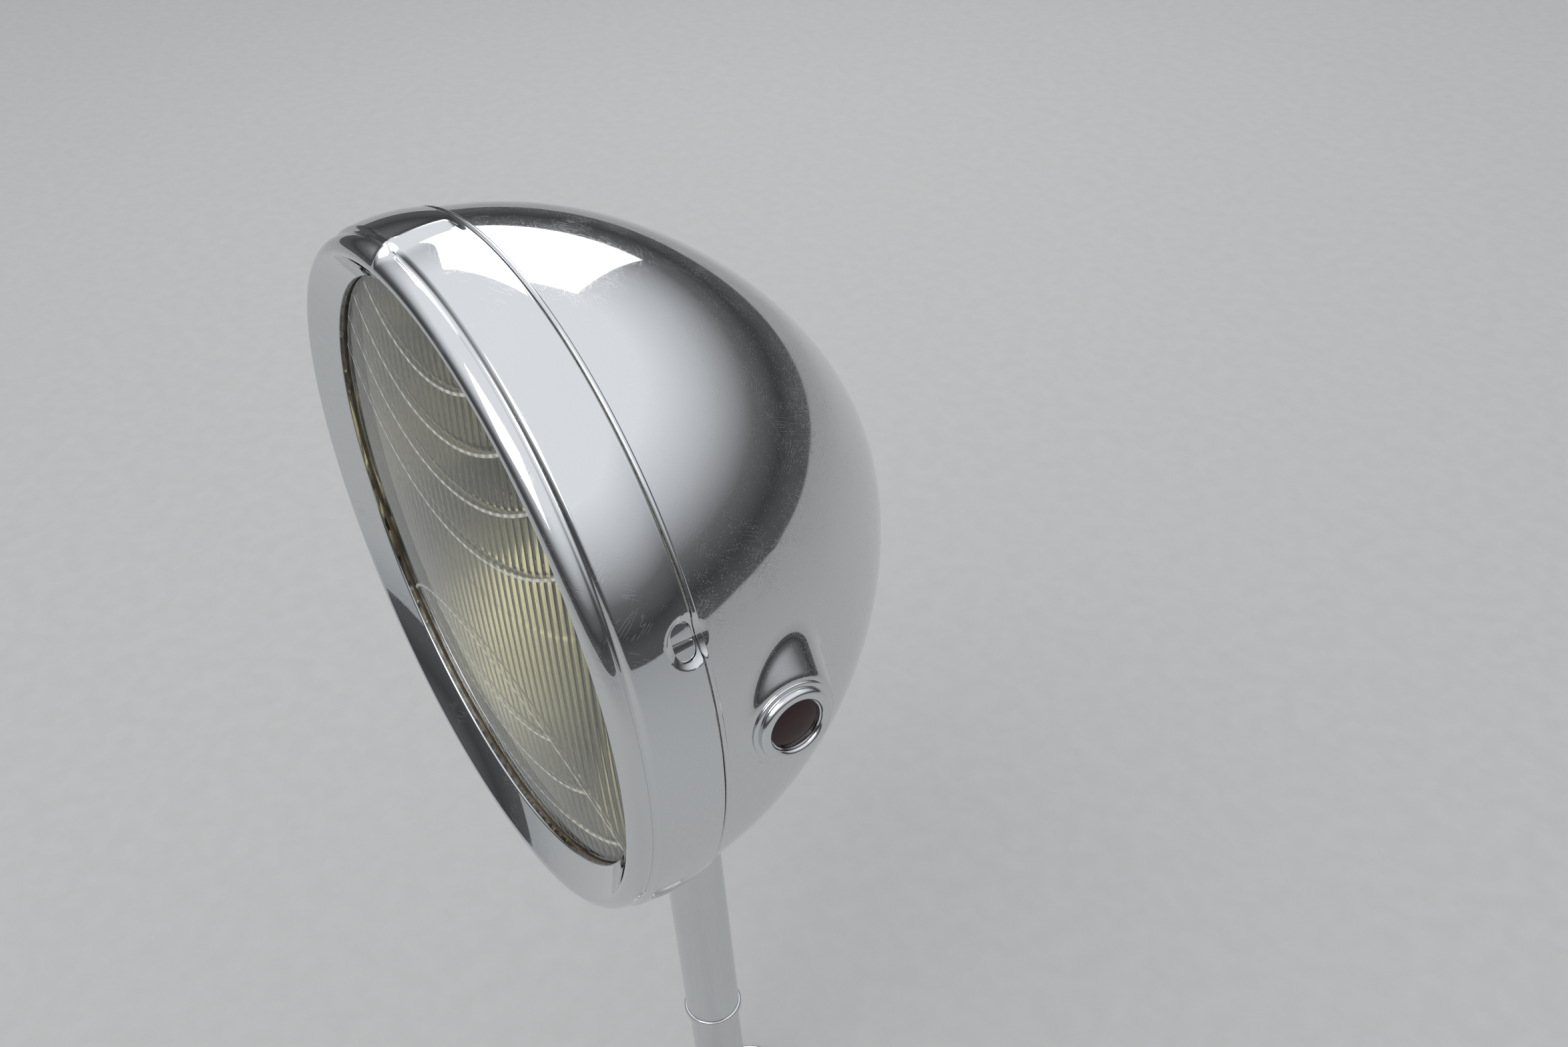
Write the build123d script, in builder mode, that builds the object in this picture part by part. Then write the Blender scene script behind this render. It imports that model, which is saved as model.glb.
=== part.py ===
"""Headlamp of a vintage car on its own post and foot, with a hinged door.

The lamp axis runs along Y and the glass faces -Y. The origin is the centre of
the foot's bottom face. All sizes are in millimetres.
"""

from build123d import *

import math
import os

os.makedirs("parts", exist_ok=True)

# Lamp body
lamp_radius = 148.0          # outside radius at the parting line
lamp_height = 444.0          # lamp axis above the foot's bottom face
post_setback = 52.0          # post axis behind the parting line
shell_wall = 1.8
parting_gap = 0.5            # between the closed door and the bowl
seat_gap = 0.3               # between curved pieces that seat on each other

# Bowl: points of its section as parts of its depth and of its rim's radius
bowl_depth = 150.7
bowl_rim_drop = 1.8          # bowl's radius at the rim below the lamp's
nose_middle = (0.9738, 0.2052)
nose_edge = (0.8890, 0.4104)
shoulder = (0.4977, 0.8256)
rim_flange_drop = 12.0       # flange's opening below the lamp radius
rim_flange_thickness = 3.0
rim_flange_back = 3.0        # front face of the flange behind the parting line
rim_bead_radius = 1.6

# Door: band, groove, bead and glass opening, measured forward of the parting line
band_width = 26.5
band_crown = 1.2
groove_width = 3.4
groove_depth = 2.0
groove_bottom = 0.55         # part of the groove's width
door_depth = 37.6
crest_drop = 7.4             # crest's radius below the lamp's
bead_bulge = 2.1             # above the chord from the groove to the crest
opening_drop = 19.2          # glass opening's radius below the lamp's
opening_forward = 28.2
lip_thickness = 1.8
bead_wall = 2.4
bead_back = 3.8              # inside of the bead behind the crest

# Spine over the top of the door: round ridge that ends in a point at the crest
spine_ridge_radius = 6.2
spine_sink = 1.7             # ridge's centre below the band's surface
spine_back = 7.0             # rounded end in front of the parting line
spine_point = 1.0
spine_lean = 2.2             # from the top towards the inner side, in degrees

# Glass: domed pane with upright flutes and curved ribs on its inner face
lens_drop = 12.0             # pane's radius below the lamp's
lens_edge = 5.0
lens_dome = 8.0
lens_seat = 0.8              # gasket between the lip and the glass
flute_drop = 21.0            # edge of the flutes below the lamp radius
flute_pitch = 6.3
flute_depth = 0.8
flute_land = 0.4
rib_width = 2.0
rib_height = 0.5             # above the crests between the flutes
rib_margin = 9.0             # ribs stop short of the flutes' ends
upper_rib_centre = (-9.5, 204.0)
upper_rib_radii = (108.0, 130.5, 153.0, 177.5)
lower_rib_centre = (3.0, 54.0)
lower_rib_radii = (113.0, 136.0, 159.0)
arch_rib_top = -31.5
arch_rib_radius = 150.0

# Ring that holds the glass in the door
holder_gap = 2.7             # between the ring and the inside of the band
holder_wall = 1.5
holder_lip_drop = 17.0       # ring's opening below the lamp radius
holder_skirt = 3.3
clip_reach = 4.5             # hook over the ring's edge
clip_depth = 7.0
clip_thickness = 2.0
clip_count = 4
clip_width = 14.0
clip_turn = 45.0

# Reflector and light source
reflector_room = 30.7        # from the bowl's nose to the reflector's apex
reflector_drop = 17.0        # reflector's rim below the lamp radius
reflector_wall = 1.6
reflector_bore = 14.0
flange_gap = 0.8             # reflector's flange inside the bowl's rim
flange_thickness = 1.2
gasket_thickness = 1.0
socket_wall = 5.9
socket_lead = 8.0            # in front of the reflector's apex
socket_length = 28.0
socket_flange = 19.0
socket_flange_thickness = 2.0
base_radius = 7.5
base_length = 24.0
base_clearance = 0.2
globe_radius = 18.0
globe_neck = 6.6

# Side bosses: tell-tale on the outer side (+X), tie bar socket on the inner side
boss_back = 30.5             # behind the parting line
boss_drop = 2.0              # below the lamp axis
boss_inset = 1.5             # flat face of the boss within the lamp radius
boss_radius = 18.5
boss_depth = 16.0
boss_spread = 12.3           # wider at its root, which leans up and to the front
boss_root_rise = 9.1
boss_root_forward = 6.4
jewel_ring_height = 4.2
jewel_seat = 1.8             # rim of the glass above the boss's face
edge_round = 0.8             # on small turned pieces
jewel_ring_radius = 15.5
jewel_step_radius = 13.0
jewel_radius = 10.4
jewel_rise = 2.2
jewel_window = 8.0
cup_radius = 16.0
cup_length = 13.0
cup_edge = 1.5
cup_dish_radius = 12.5
cup_dish_depth = 4.0
spigot_radius = 8.7          # stub that holds the cup in the boss
spigot_length = 14.5
bore_floor = 1.5
tie_bar_radius = 6.1
tie_screw_head = 4.6
tie_screw_head_height = 3.2
tie_screw_shank = 2.5
tie_screw_clearance = 0.2

# Lock in the seam, and the hinge straight across from it
lock_angle = 70.5            # from the top towards the outer side
lock_forward = 5.0
lock_length = 15.0
lock_width = 8.6
lock_thickness = 2.6
lock_sink = 2.0              # button's face below the lamp radius
lock_slot = 1.3
lock_slot_depth = 1.2
lock_shank = 3.0
lock_boss = 11.0
lock_boss_depth = 9.0
dimple_ball = 18.0
dimple_depth = 3.0
dimple_forward = 1.2
hinge_offset = 6.0           # pin's centre outside the lamp radius
hinge_pin_radius = 2.25
hinge_knuckle_radius = 4.4
hinge_length = 36.0
hinge_knuckle_gap = 0.4
hinge_leaf_length = 20.0
hinge_leaf_rise = 3.2        # leaf's thickness over the shell
hinge_leaf_root = 8.0        # leaf's blank starts below the lamp radius
hinge_leaf_drop = 4.6        # bowl's fall below the lamp radius at the leaf's end
hinge_leaf_gap = 1.2         # between a knuckle and the leaf's plate
pin_clearance = 0.06
pin_head = 1.6

# Pedestal under the bowl, oval in plan
skirt_centre = 8.0           # behind the post axis
skirt_length = 34.0          # lowest edge below the lamp radius
skirt_half_width = 25.0
skirt_half_length = 31.0
skirt_fillet = 16.0
skirt_bead_width = 2.4
skirt_bead_height = 5.0
skirt_wall = 2.2
recess_depth = 9.0
floor_thickness = 5.0
bead_round = 2.16
cable_hole = 9.0

# Post and foot
post_radius = 15.0
post_wall = 3.0
lower_post_wall = 3.0
post_top = 14.0              # above the pedestal's floor
post_clearance = 0.15
lower_post_radius = 14.0
ring_drop = 349.0            # ring's middle below the lamp axis
ring_height = 4.6
ring_radius = 16.2
ring_round = 1.84
collar_radius = 18.6
collar_height = 6.0
nut_radius = 6.2
nut_height = 5.0
nut_back = 28.0
stud_radius = 3.5
stud_end = 3.0
foot_length = 78.0
foot_width = 46.0
foot_thickness = 8.0
foot_edge = 2.6
foot_boss_radius = 18.6
foot_boss_top_radius = 16.6
foot_boss_top = 20.0
foot_floor = 3.0
bolt_spacing = 54.0
bolt_hole_radius = 3.6
bolt_sink_radius = 7.4

parting_y = -post_setback
lamp_axis = Axis((0, 0, lamp_height), (0, 1, 0))
bowl_rim_radius = lamp_radius - bowl_rim_drop
crest_radius = lamp_radius - crest_drop
opening_radius = lamp_radius - opening_drop
lens_radius = lamp_radius - lens_drop
flute_zone = lamp_radius - flute_drop
boss_reach = lamp_radius - boss_inset
boss_y = parting_y + boss_back
boss_z = lamp_height - boss_drop
boss_axis = Axis((0, boss_y, boss_z), (1, 0, 0))
skirt_drop = lamp_radius + skirt_length
skirt_bottom = lamp_height - skirt_drop
floor_z = skirt_bottom + recess_depth
floor_top = floor_z + floor_thickness


def at(forward, radius):
    """Point of a lamp section: distance forward of the parting line, radius."""
    return (parting_y - forward, lamp_height + radius)


def export(piece, name):
    """Label a finished piece and write it under its node's name."""
    piece.label = name
    export_step(piece, "parts/" + name + ".step")


def bowl_outline(inset, front):
    """Half section of the bowl moved in by inset and closed along the lamp axis."""
    depth = bowl_depth - inset
    radius = bowl_rim_radius - inset
    with BuildLine() as outline:
        nose = ThreePointArc(
            at(-depth, 0),
            at(-depth * nose_middle[0], radius * nose_middle[1]),
            at(-depth * nose_edge[0], radius * nose_edge[1]),
        )
        flank = TangentArc(
            nose @ 1, at(-depth * shoulder[0], radius * shoulder[1]), tangent=nose % 1
        )
        rim = TangentArc(flank @ 1, at(-front, radius), tangent=flank % 1)
        Polyline(rim @ 1, at(-front, 0), nose @ 0)
    return outline.line


def door_outline(offset):
    """Half section of the closed door's outside, moved out by offset."""
    bead_start = band_width + groove_width
    bead_radius = lamp_radius - groove_depth + offset
    run = door_depth - bead_start
    fall = bead_radius - crest_radius - offset
    bulge = bead_bulge / math.hypot(run, fall)
    with BuildLine() as outline:
        band = ThreePointArc(
            at(0, lamp_radius + offset),
            at(band_width / 2, lamp_radius + band_crown + offset),
            at(band_width, lamp_radius + offset),
        )
        groove = ThreePointArc(
            band @ 1,
            at(band_width + groove_width * groove_bottom, bead_radius),
            at(bead_start, bead_radius),
        )
        bead = ThreePointArc(
            groove @ 1,
            at(bead_start + run / 2 + bulge * fall, bead_radius - fall / 2 + bulge * run),
            at(door_depth, crest_radius + offset),
        )
        Polyline(bead @ 1, at(door_depth, 0), at(0, 0), band @ 0)
    return outline.line


# Directions of the lock and of the hinge across from it
lock_turn = math.radians(lock_angle)
lock_out = Vector(math.sin(lock_turn), 0, math.cos(lock_turn))
lock_plane = Plane(
    origin=Vector(0, parting_y - lock_forward, lamp_height) + lock_out * lamp_radius,
    x_dir=(lock_out.Z, 0, -lock_out.X),
    z_dir=lock_out,
)
hinge_plane = Plane(
    origin=(0, parting_y, lamp_height),
    x_dir=-lock_out,
    z_dir=(lock_out.Z, 0, -lock_out.X),
)
pin_offset = lamp_radius + hinge_offset
dimple_reach = lamp_radius + dimple_ball - dimple_depth
dimple_centre = Vector(0, parting_y - dimple_forward, lamp_height) + lock_out * dimple_reach

# Pedestal: oval skirt that flares out to the bowl's underside
with BuildPart() as pedestal:
    with BuildSketch(Plane.YZ):
        add(bowl_outline(0, parting_gap))
        make_face()
    revolve(axis=lamp_axis)
    with BuildSketch(Plane.XY.offset(skirt_bottom)):
        with Locations((0, skirt_centre)):
            Ellipse(skirt_half_width, skirt_half_length)
    extrude(amount=skirt_drop - lamp_radius / 2)
    seam = pedestal.edges(Select.LAST).filter_by_position(
        Axis.Z, skirt_bottom + skirt_fillet, lamp_height - lamp_radius / 2
    ).filter_by(GeomType.BSPLINE)
    fillet(seam, skirt_fillet)
    with BuildSketch(Plane.XY.offset(skirt_bottom)):
        with Locations((0, skirt_centre)):
            Ellipse(skirt_half_width + skirt_bead_width, skirt_half_length + skirt_bead_width)
    extrude(amount=skirt_bead_height)
    bead_edges = pedestal.edges(Select.LAST).filter_by(GeomType.ELLIPSE).group_by(SortBy.LENGTH)[-1]
    fillet(bead_edges, bead_round)
    with BuildSketch(Plane.YZ):
        add(bowl_outline(-seat_gap, -parting_gap))
        make_face()
    revolve(axis=lamp_axis, mode=Mode.SUBTRACT)
    inner_oval = (skirt_half_width - skirt_wall, skirt_half_length - skirt_wall)
    for height, depth in ((floor_top, skirt_drop), (skirt_bottom, recess_depth)):
        with BuildSketch(Plane.XY.offset(height)):
            with Locations((0, skirt_centre)):
                Ellipse(*inner_oval)
        extrude(amount=depth, mode=Mode.SUBTRACT)
    with BuildSketch(Plane.XY.offset(floor_z)):
        Circle(post_radius + post_clearance)
        with Locations((0, nut_back)):
            Circle(stud_radius + post_clearance)
    extrude(amount=floor_thickness, mode=Mode.SUBTRACT)
export(pedestal.part, "pedestal")

# Bowl with its rim bead and the two side bosses
with BuildPart() as bowl:
    with BuildSketch(Plane.YZ):
        add(bowl_outline(0, parting_gap))
        make_face()
    revolve(axis=lamp_axis)
    for side in (1, -1):
        with BuildSketch(Plane.YZ.offset(side * boss_reach)):
            with Locations((boss_y, boss_z)):
                Circle(boss_radius)
        with BuildSketch(Plane.YZ.offset(side * (boss_reach - boss_depth))):
            with Locations((boss_y - boss_root_forward, boss_z + boss_root_rise)):
                Circle(boss_radius + boss_spread)
        loft()
    with BuildSketch(Plane.XZ.offset(-parting_y - parting_gap)):
        with Locations((0, lamp_height)):
            Circle(lamp_radius + boss_spread)
    extrude(amount=boss_depth, mode=Mode.SUBTRACT)
    with BuildSketch(Plane.YZ):
        with Locations(at(-parting_gap - rim_bead_radius, bowl_rim_radius)):
            Circle(rim_bead_radius)
    revolve(axis=lamp_axis)
    # Inside: shell, flange opening, reflector seat and the hole for the cable
    with BuildSketch(Plane.YZ):
        add(bowl_outline(shell_wall, rim_flange_back + rim_flange_thickness))
        make_face()
    revolve(axis=lamp_axis, mode=Mode.SUBTRACT)
    for radius, depth in (
        (lamp_radius - rim_flange_drop, rim_flange_back + rim_flange_thickness + shell_wall),
        (bowl_rim_radius - shell_wall, rim_flange_back),
    ):
        with BuildSketch(Plane.XZ.offset(-parting_y)):
            with Locations((0, lamp_height)):
                Circle(radius)
        extrude(amount=-depth, mode=Mode.SUBTRACT)
    with BuildSketch(Plane.XY.offset(floor_top)):
        Circle(cable_hole)
    extrude(amount=skirt_drop - lamp_radius / 2, mode=Mode.SUBTRACT)
    # Window behind the tell-tale glass, hole for the tie bar cup's stub, lock dimple
    with BuildSketch(Plane.YZ.offset(boss_reach)):
        with Locations((boss_y, boss_z)):
            Circle(jewel_window)
    extrude(amount=-boss_depth, mode=Mode.SUBTRACT)
    with BuildSketch(Plane.YZ.offset(-boss_reach)):
        with Locations((boss_y, boss_z)):
            Circle(spigot_radius + seat_gap)
    extrude(amount=boss_depth, mode=Mode.SUBTRACT)
    with Locations(dimple_centre):
        Sphere(dimple_ball, mode=Mode.SUBTRACT)
export(bowl.part, "bowl")

# Inside of the door: band, lip behind the glass opening and the step between them
inner_band = lamp_radius - shell_wall
lens_face = opening_forward - lip_thickness - lens_seat
lens_back = lens_face - lens_edge

ridge_radius = lamp_radius - spine_sink
ridge = Vector(*at(spine_back, ridge_radius)), Vector(*at(band_width + groove_width, ridge_radius))
ridge_back, ridge_front = (Vector(0, point.X, point.Y) for point in ridge)
ridge_point = Vector(0, *at(door_depth, crest_radius))
with BuildPart() as spine:
    with BuildSketch(Plane(origin=ridge_back, z_dir=ridge_front - ridge_back)):
        Circle(spine_ridge_radius)
    extrude(amount=(ridge_front - ridge_back).length)
    with Locations(ridge_back, ridge_front):
        Sphere(spine_ridge_radius)
    with BuildSketch(Plane(origin=ridge_front, z_dir=ridge_point - ridge_front)):
        Circle(spine_ridge_radius)
    with BuildSketch(Plane(origin=ridge_point, z_dir=ridge_point - ridge_front)):
        Circle(spine_point)
    loft()

with BuildPart() as door:
    with BuildSketch(Plane.YZ):
        add(door_outline(0))
        make_face()
    revolve(axis=lamp_axis)
    add(spine.part.rotate(lamp_axis, -spine_lean))
    # Hollow behind the lip, then the glass opening with its inner cone
    with BuildSketch(Plane.YZ):
        with BuildLine():
            Polyline(
                at(-parting_gap, 0),
                at(-parting_gap, inner_band),
                at(band_width - shell_wall, inner_band),
                at(band_width + groove_width, inner_band - groove_depth - bead_wall),
                at(door_depth - bead_back, crest_radius - bead_wall),
                at(opening_forward - lip_thickness, opening_radius + shell_wall),
                at(opening_forward - lip_thickness, 0),
                close=True,
            )
        make_face()
    revolve(axis=lamp_axis, mode=Mode.SUBTRACT)
    with BuildSketch(Plane.YZ):
        with BuildLine():
            Polyline(
                at(0, 0),
                at(0, opening_radius),
                at(opening_forward, opening_radius),
                at(door_depth, crest_radius),
                at(door_depth + spine_ridge_radius, crest_radius),
                at(door_depth + spine_ridge_radius, 0),
                close=True,
            )
        make_face()
    revolve(axis=lamp_axis, mode=Mode.SUBTRACT)
    # Lock: thick boss inside the band, dimple, seat of the button and its bore
    with BuildSketch(lock_plane.offset(-lock_boss_depth)):
        Circle(lock_boss)
    extrude(amount=lock_boss_depth)
    with BuildSketch(Plane.XZ.offset(-parting_y)):
        with Locations((0, lamp_height)):
            Circle(lamp_radius + 2 * lock_boss)
    extrude(amount=-2 * lock_boss, mode=Mode.SUBTRACT)
    with Locations(dimple_centre):
        Sphere(dimple_ball, mode=Mode.SUBTRACT)
    with BuildSketch(lock_plane.offset(-lock_sink - lock_thickness)):
        SlotOverall(lock_length + 2 * seat_gap, lock_width + 2 * seat_gap)
    extrude(amount=lock_thickness + lock_sink, mode=Mode.SUBTRACT)
    with BuildSketch(lock_plane.offset(-lock_boss_depth)):
        Circle(lock_shank + seat_gap)
    extrude(amount=lock_boss_depth, mode=Mode.SUBTRACT)
export(door.part, "door")

with BuildPart() as lock_screw:
    with BuildSketch(lock_plane.offset(-lock_sink - lock_thickness)):
        SlotOverall(lock_length, lock_width)
    extrude(amount=lock_thickness)
    top_face = lock_screw.faces().sort_by(Axis(lock_plane.origin, lock_out))[-1]
    fillet(top_face.edges(), edge_round)
    with BuildSketch(lock_plane.offset(-lock_sink)):
        Rectangle(lock_slot, lock_width + seat_gap)
    extrude(amount=-lock_slot_depth, mode=Mode.SUBTRACT)
    with BuildSketch(lock_plane.offset(-lock_boss_depth - lock_thickness)):
        Circle(lock_shank)
    extrude(amount=lock_boss_depth - lock_sink)
export(lock_screw.part, "lock_screw")

# Glass
dome_radius = (flute_zone**2 + lens_dome**2) / (2 * lens_dome)
flute_radius = ((flute_pitch - flute_land) / 2) ** 2 / (2 * flute_depth) + flute_depth / 2
flute_count = 2 * math.ceil(flute_zone / flute_pitch) + 1

with BuildPart() as flutes:
    with BuildSketch(Plane.XY.offset(lamp_height - lens_radius)):
        with Locations((0, parting_y - lens_back - flute_depth + flute_radius)):
            with GridLocations(flute_pitch, 0, flute_count, 1):
                Circle(flute_radius)
    extrude(amount=2 * lens_radius)
    with BuildSketch(Plane.XZ.offset(-parting_y)):
        with Locations((0, lamp_height)):
            Circle(flute_zone)
    extrude(amount=lens_back + lens_edge, mode=Mode.INTERSECT)

# Ribs: sagging arcs above, an arch, and sagging arcs that end at the arch
rib_disc = flute_zone - rib_margin
arch_centre = (0, lamp_height + arch_rib_top - arch_rib_radius)
with BuildPart() as ribs:
    with BuildSketch(Plane.XZ.offset(-parting_y + lens_back - rib_height)):
        with Locations((upper_rib_centre[0], lamp_height + upper_rib_centre[1])):
            for radius in reversed(upper_rib_radii):
                Circle(radius + rib_width / 2)
                Circle(radius - rib_width / 2, mode=Mode.SUBTRACT)
        with Locations((0, lamp_height)):
            Circle(rib_disc, mode=Mode.INTERSECT)
    extrude(amount=rib_height + 2 * flute_depth)
    with BuildSketch(Plane.XZ.offset(-parting_y + lens_back - rib_height)):
        with Locations((lower_rib_centre[0], lamp_height + lower_rib_centre[1])):
            for radius in reversed(lower_rib_radii):
                Circle(radius + rib_width / 2)
                Circle(radius - rib_width / 2, mode=Mode.SUBTRACT)
        with Locations(arch_centre):
            Circle(arch_rib_radius, mode=Mode.INTERSECT)
            Circle(arch_rib_radius)
            Circle(arch_rib_radius - rib_width, mode=Mode.SUBTRACT)
        with Locations((0, lamp_height)):
            Circle(rib_disc, mode=Mode.INTERSECT)
    extrude(amount=rib_height + 2 * flute_depth)

with BuildPart() as lens:
    with BuildSketch(Plane.YZ):
        with BuildLine():
            dome_centre = lens_face + lens_dome - dome_radius
            half = flute_zone / 2
            dome = ThreePointArc(
                at(lens_face + lens_dome, 0),
                at(dome_centre + math.sqrt(dome_radius**2 - half**2), half),
                at(lens_face, flute_zone),
            )
            Polyline(
                dome @ 1,
                at(lens_face, lens_radius),
                at(lens_back, lens_radius),
                at(lens_back, 0),
                dome @ 0,
            )
        make_face()
    revolve(axis=lamp_axis)
    add(flutes.part, mode=Mode.SUBTRACT)
    add(ribs.part)
export(lens.part, "lens")


def ring(name, inner, outer, front, back):
    """Flat ring about the lamp axis between two distances forward of the parting line."""
    with BuildPart() as piece:
        with BuildSketch(Plane.XZ.offset(-parting_y + back)):
            with Locations((0, lamp_height)):
                Circle(outer)
                Circle(inner, mode=Mode.SUBTRACT)
        extrude(amount=front - back)
    export(piece.part, name)


ring("lens_gasket", opening_radius + seat_gap, lens_radius, lens_face + lens_seat, lens_face)

# Ring behind the glass, and the clips that hook over its edge
holder_radius = inner_band - holder_gap
holder_front = lens_back
holder_rear = holder_front - holder_skirt
with BuildPart() as lens_ring:
    with BuildSketch(Plane.XZ.offset(-parting_y + holder_rear)):
        with Locations((0, lamp_height)):
            Circle(holder_radius)
            Circle(lamp_radius - holder_lip_drop, mode=Mode.SUBTRACT)
    extrude(amount=holder_skirt)
    with BuildSketch(Plane.XZ.offset(-parting_y + holder_rear)):
        with Locations((0, lamp_height)):
            Circle(holder_radius - holder_wall)
    extrude(amount=holder_skirt - holder_wall, mode=Mode.SUBTRACT)
export(lens_ring.part, "lens_ring")

with BuildPart() as lens_clips:
    with BuildSketch(Plane.XZ.offset(-parting_y + holder_rear - seat_gap - clip_thickness)):
        with Locations((0, lamp_height)):
            Circle(inner_band - seat_gap)
            Circle(holder_radius - clip_reach, mode=Mode.SUBTRACT)
            with PolarLocations(inner_band, clip_count, start_angle=clip_turn):
                Rectangle(4 * clip_reach, clip_width, mode=Mode.INTERSECT)
    extrude(amount=clip_depth)
    with BuildSketch(Plane.XZ.offset(-parting_y + holder_rear - seat_gap)):
        with Locations((0, lamp_height)):
            Circle(holder_radius + seat_gap)
    extrude(amount=clip_depth, mode=Mode.SUBTRACT)
export(lens_clips.part, "lens_clips")

# Reflector: paraboloid with a flat flange on the gasket
flange_front = -(rim_flange_back - gasket_thickness - flange_thickness)
flange_radius = bowl_rim_radius - shell_wall - flange_gap
reflector_rim = lamp_radius - reflector_drop
apex = reflector_room - bowl_depth
focal_length = reflector_rim**2 / (4 * (flange_front - apex))
back_apex = apex - reflector_wall
back_rim = math.sqrt(4 * focal_length * (flange_front - flange_thickness - back_apex))
arc_count = 4


with BuildPart() as reflector:
    with BuildSketch(Plane.YZ):
        with BuildLine() as section:
            Polyline(
                at(flange_front, reflector_rim),
                at(flange_front, flange_radius),
                at(flange_front - flange_thickness, flange_radius),
                at(flange_front - flange_thickness, back_rim),
            )
            for start, outer in ((apex, reflector_rim), (back_apex, back_rim)):
                step = (outer - reflector_bore) / arc_count
                for index in range(arc_count):
                    near = reflector_bore + index * step
                    ThreePointArc(
                        *(
                            at(start + r**2 / (4 * focal_length), r)
                            for r in (near, near + step / 2, near + step)
                        )
                    )
            bore_rise = reflector_bore**2 / (4 * focal_length)
            Line(at(apex + bore_rise, reflector_bore), at(back_apex + bore_rise, reflector_bore))
        make_face()
    revolve(axis=lamp_axis)
export(reflector.part, "reflector")

ring(
    "reflector_gasket",
    lamp_radius - rim_flange_drop + seat_gap,
    flange_radius,
    flange_front - flange_thickness,
    -rim_flange_back,
)

# Bulb holder behind the reflector, and the bulb with its globe at the focus
socket_radius = base_radius + base_clearance + socket_wall
socket_front = apex + socket_lead
socket_rear = socket_front - socket_length
base_rear = socket_front - base_length
flange_seat = back_apex + reflector_bore**2 / (4 * focal_length) - seat_gap
with BuildPart() as bulb_socket:
    with BuildSketch(Plane.XZ.offset(-parting_y + socket_rear)):
        with Locations((0, lamp_height)):
            Circle(socket_radius)
    extrude(amount=socket_length)
    with BuildSketch(Plane.XZ.offset(-parting_y + flange_seat - socket_flange_thickness)):
        with Locations((0, lamp_height)):
            Circle(socket_flange)
    extrude(amount=socket_flange_thickness)
    with BuildSketch(Plane.XZ.offset(-parting_y + base_rear)):
        with Locations((0, lamp_height)):
            Circle(base_radius + base_clearance)
    extrude(amount=base_length, mode=Mode.SUBTRACT)
export(bulb_socket.part, "bulb_socket")

with BuildPart() as bulb_base:
    with BuildSketch(Plane.XZ.offset(-parting_y + base_rear)):
        with Locations((0, lamp_height)):
            Circle(base_radius)
    extrude(amount=base_length)
export(bulb_base.part, "bulb_base")

focus = apex + focal_length
with BuildPart() as bulb_glass:
    with BuildSketch(Plane.XZ.offset(-parting_y + socket_front)):
        with Locations((0, lamp_height)):
            Circle(globe_neck)
    extrude(amount=focus - socket_front)
    with Locations((0, parting_y - focus, lamp_height)):
        Sphere(globe_radius)
export(bulb_glass.part, "bulb_glass")

# Tell-tale on the outer side: stepped bezel and domed glass
with BuildPart() as jewel_bezel:
    with BuildSketch(Plane.YZ.offset(boss_reach)):
        with Locations((boss_y, boss_z)):
            Circle(jewel_ring_radius)
    extrude(amount=jewel_ring_height / 2)
    with BuildSketch(Plane.YZ.offset(boss_reach)):
        with Locations((boss_y, boss_z)):
            Circle(jewel_step_radius)
    extrude(amount=jewel_ring_height)
    outer_edges = jewel_bezel.edges().filter_by(GeomType.CIRCLE)
    fillet(outer_edges.filter_by(lambda e: e.center().X > boss_reach + seat_gap), edge_round)
    with BuildSketch(Plane.YZ.offset(boss_reach)):
        with Locations((boss_y, boss_z)):
            Circle(jewel_radius + seat_gap)
    extrude(amount=jewel_ring_height, mode=Mode.SUBTRACT)
export(jewel_bezel.part, "jewel_bezel")

jewel_rim = boss_reach + jewel_seat
jewel_ball = (jewel_radius**2 + jewel_rise**2) / (2 * jewel_rise)
with BuildPart() as jewel_glass:
    with BuildSketch(Plane.XY.offset(boss_z)):
        with BuildLine():
            half = jewel_radius / 2
            crown = ThreePointArc(
                (jewel_rim + jewel_rise, boss_y),
                (
                    jewel_rim + jewel_rise - jewel_ball + math.sqrt(jewel_ball**2 - half**2),
                    boss_y + half,
                ),
                (jewel_rim, boss_y + jewel_radius),
            )
            Polyline(
                crown @ 1,
                (boss_reach, boss_y + jewel_radius),
                (boss_reach, boss_y),
                crown @ 0,
            )
        make_face()
    revolve(axis=boss_axis)
export(jewel_glass.part, "jewel_glass")

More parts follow.
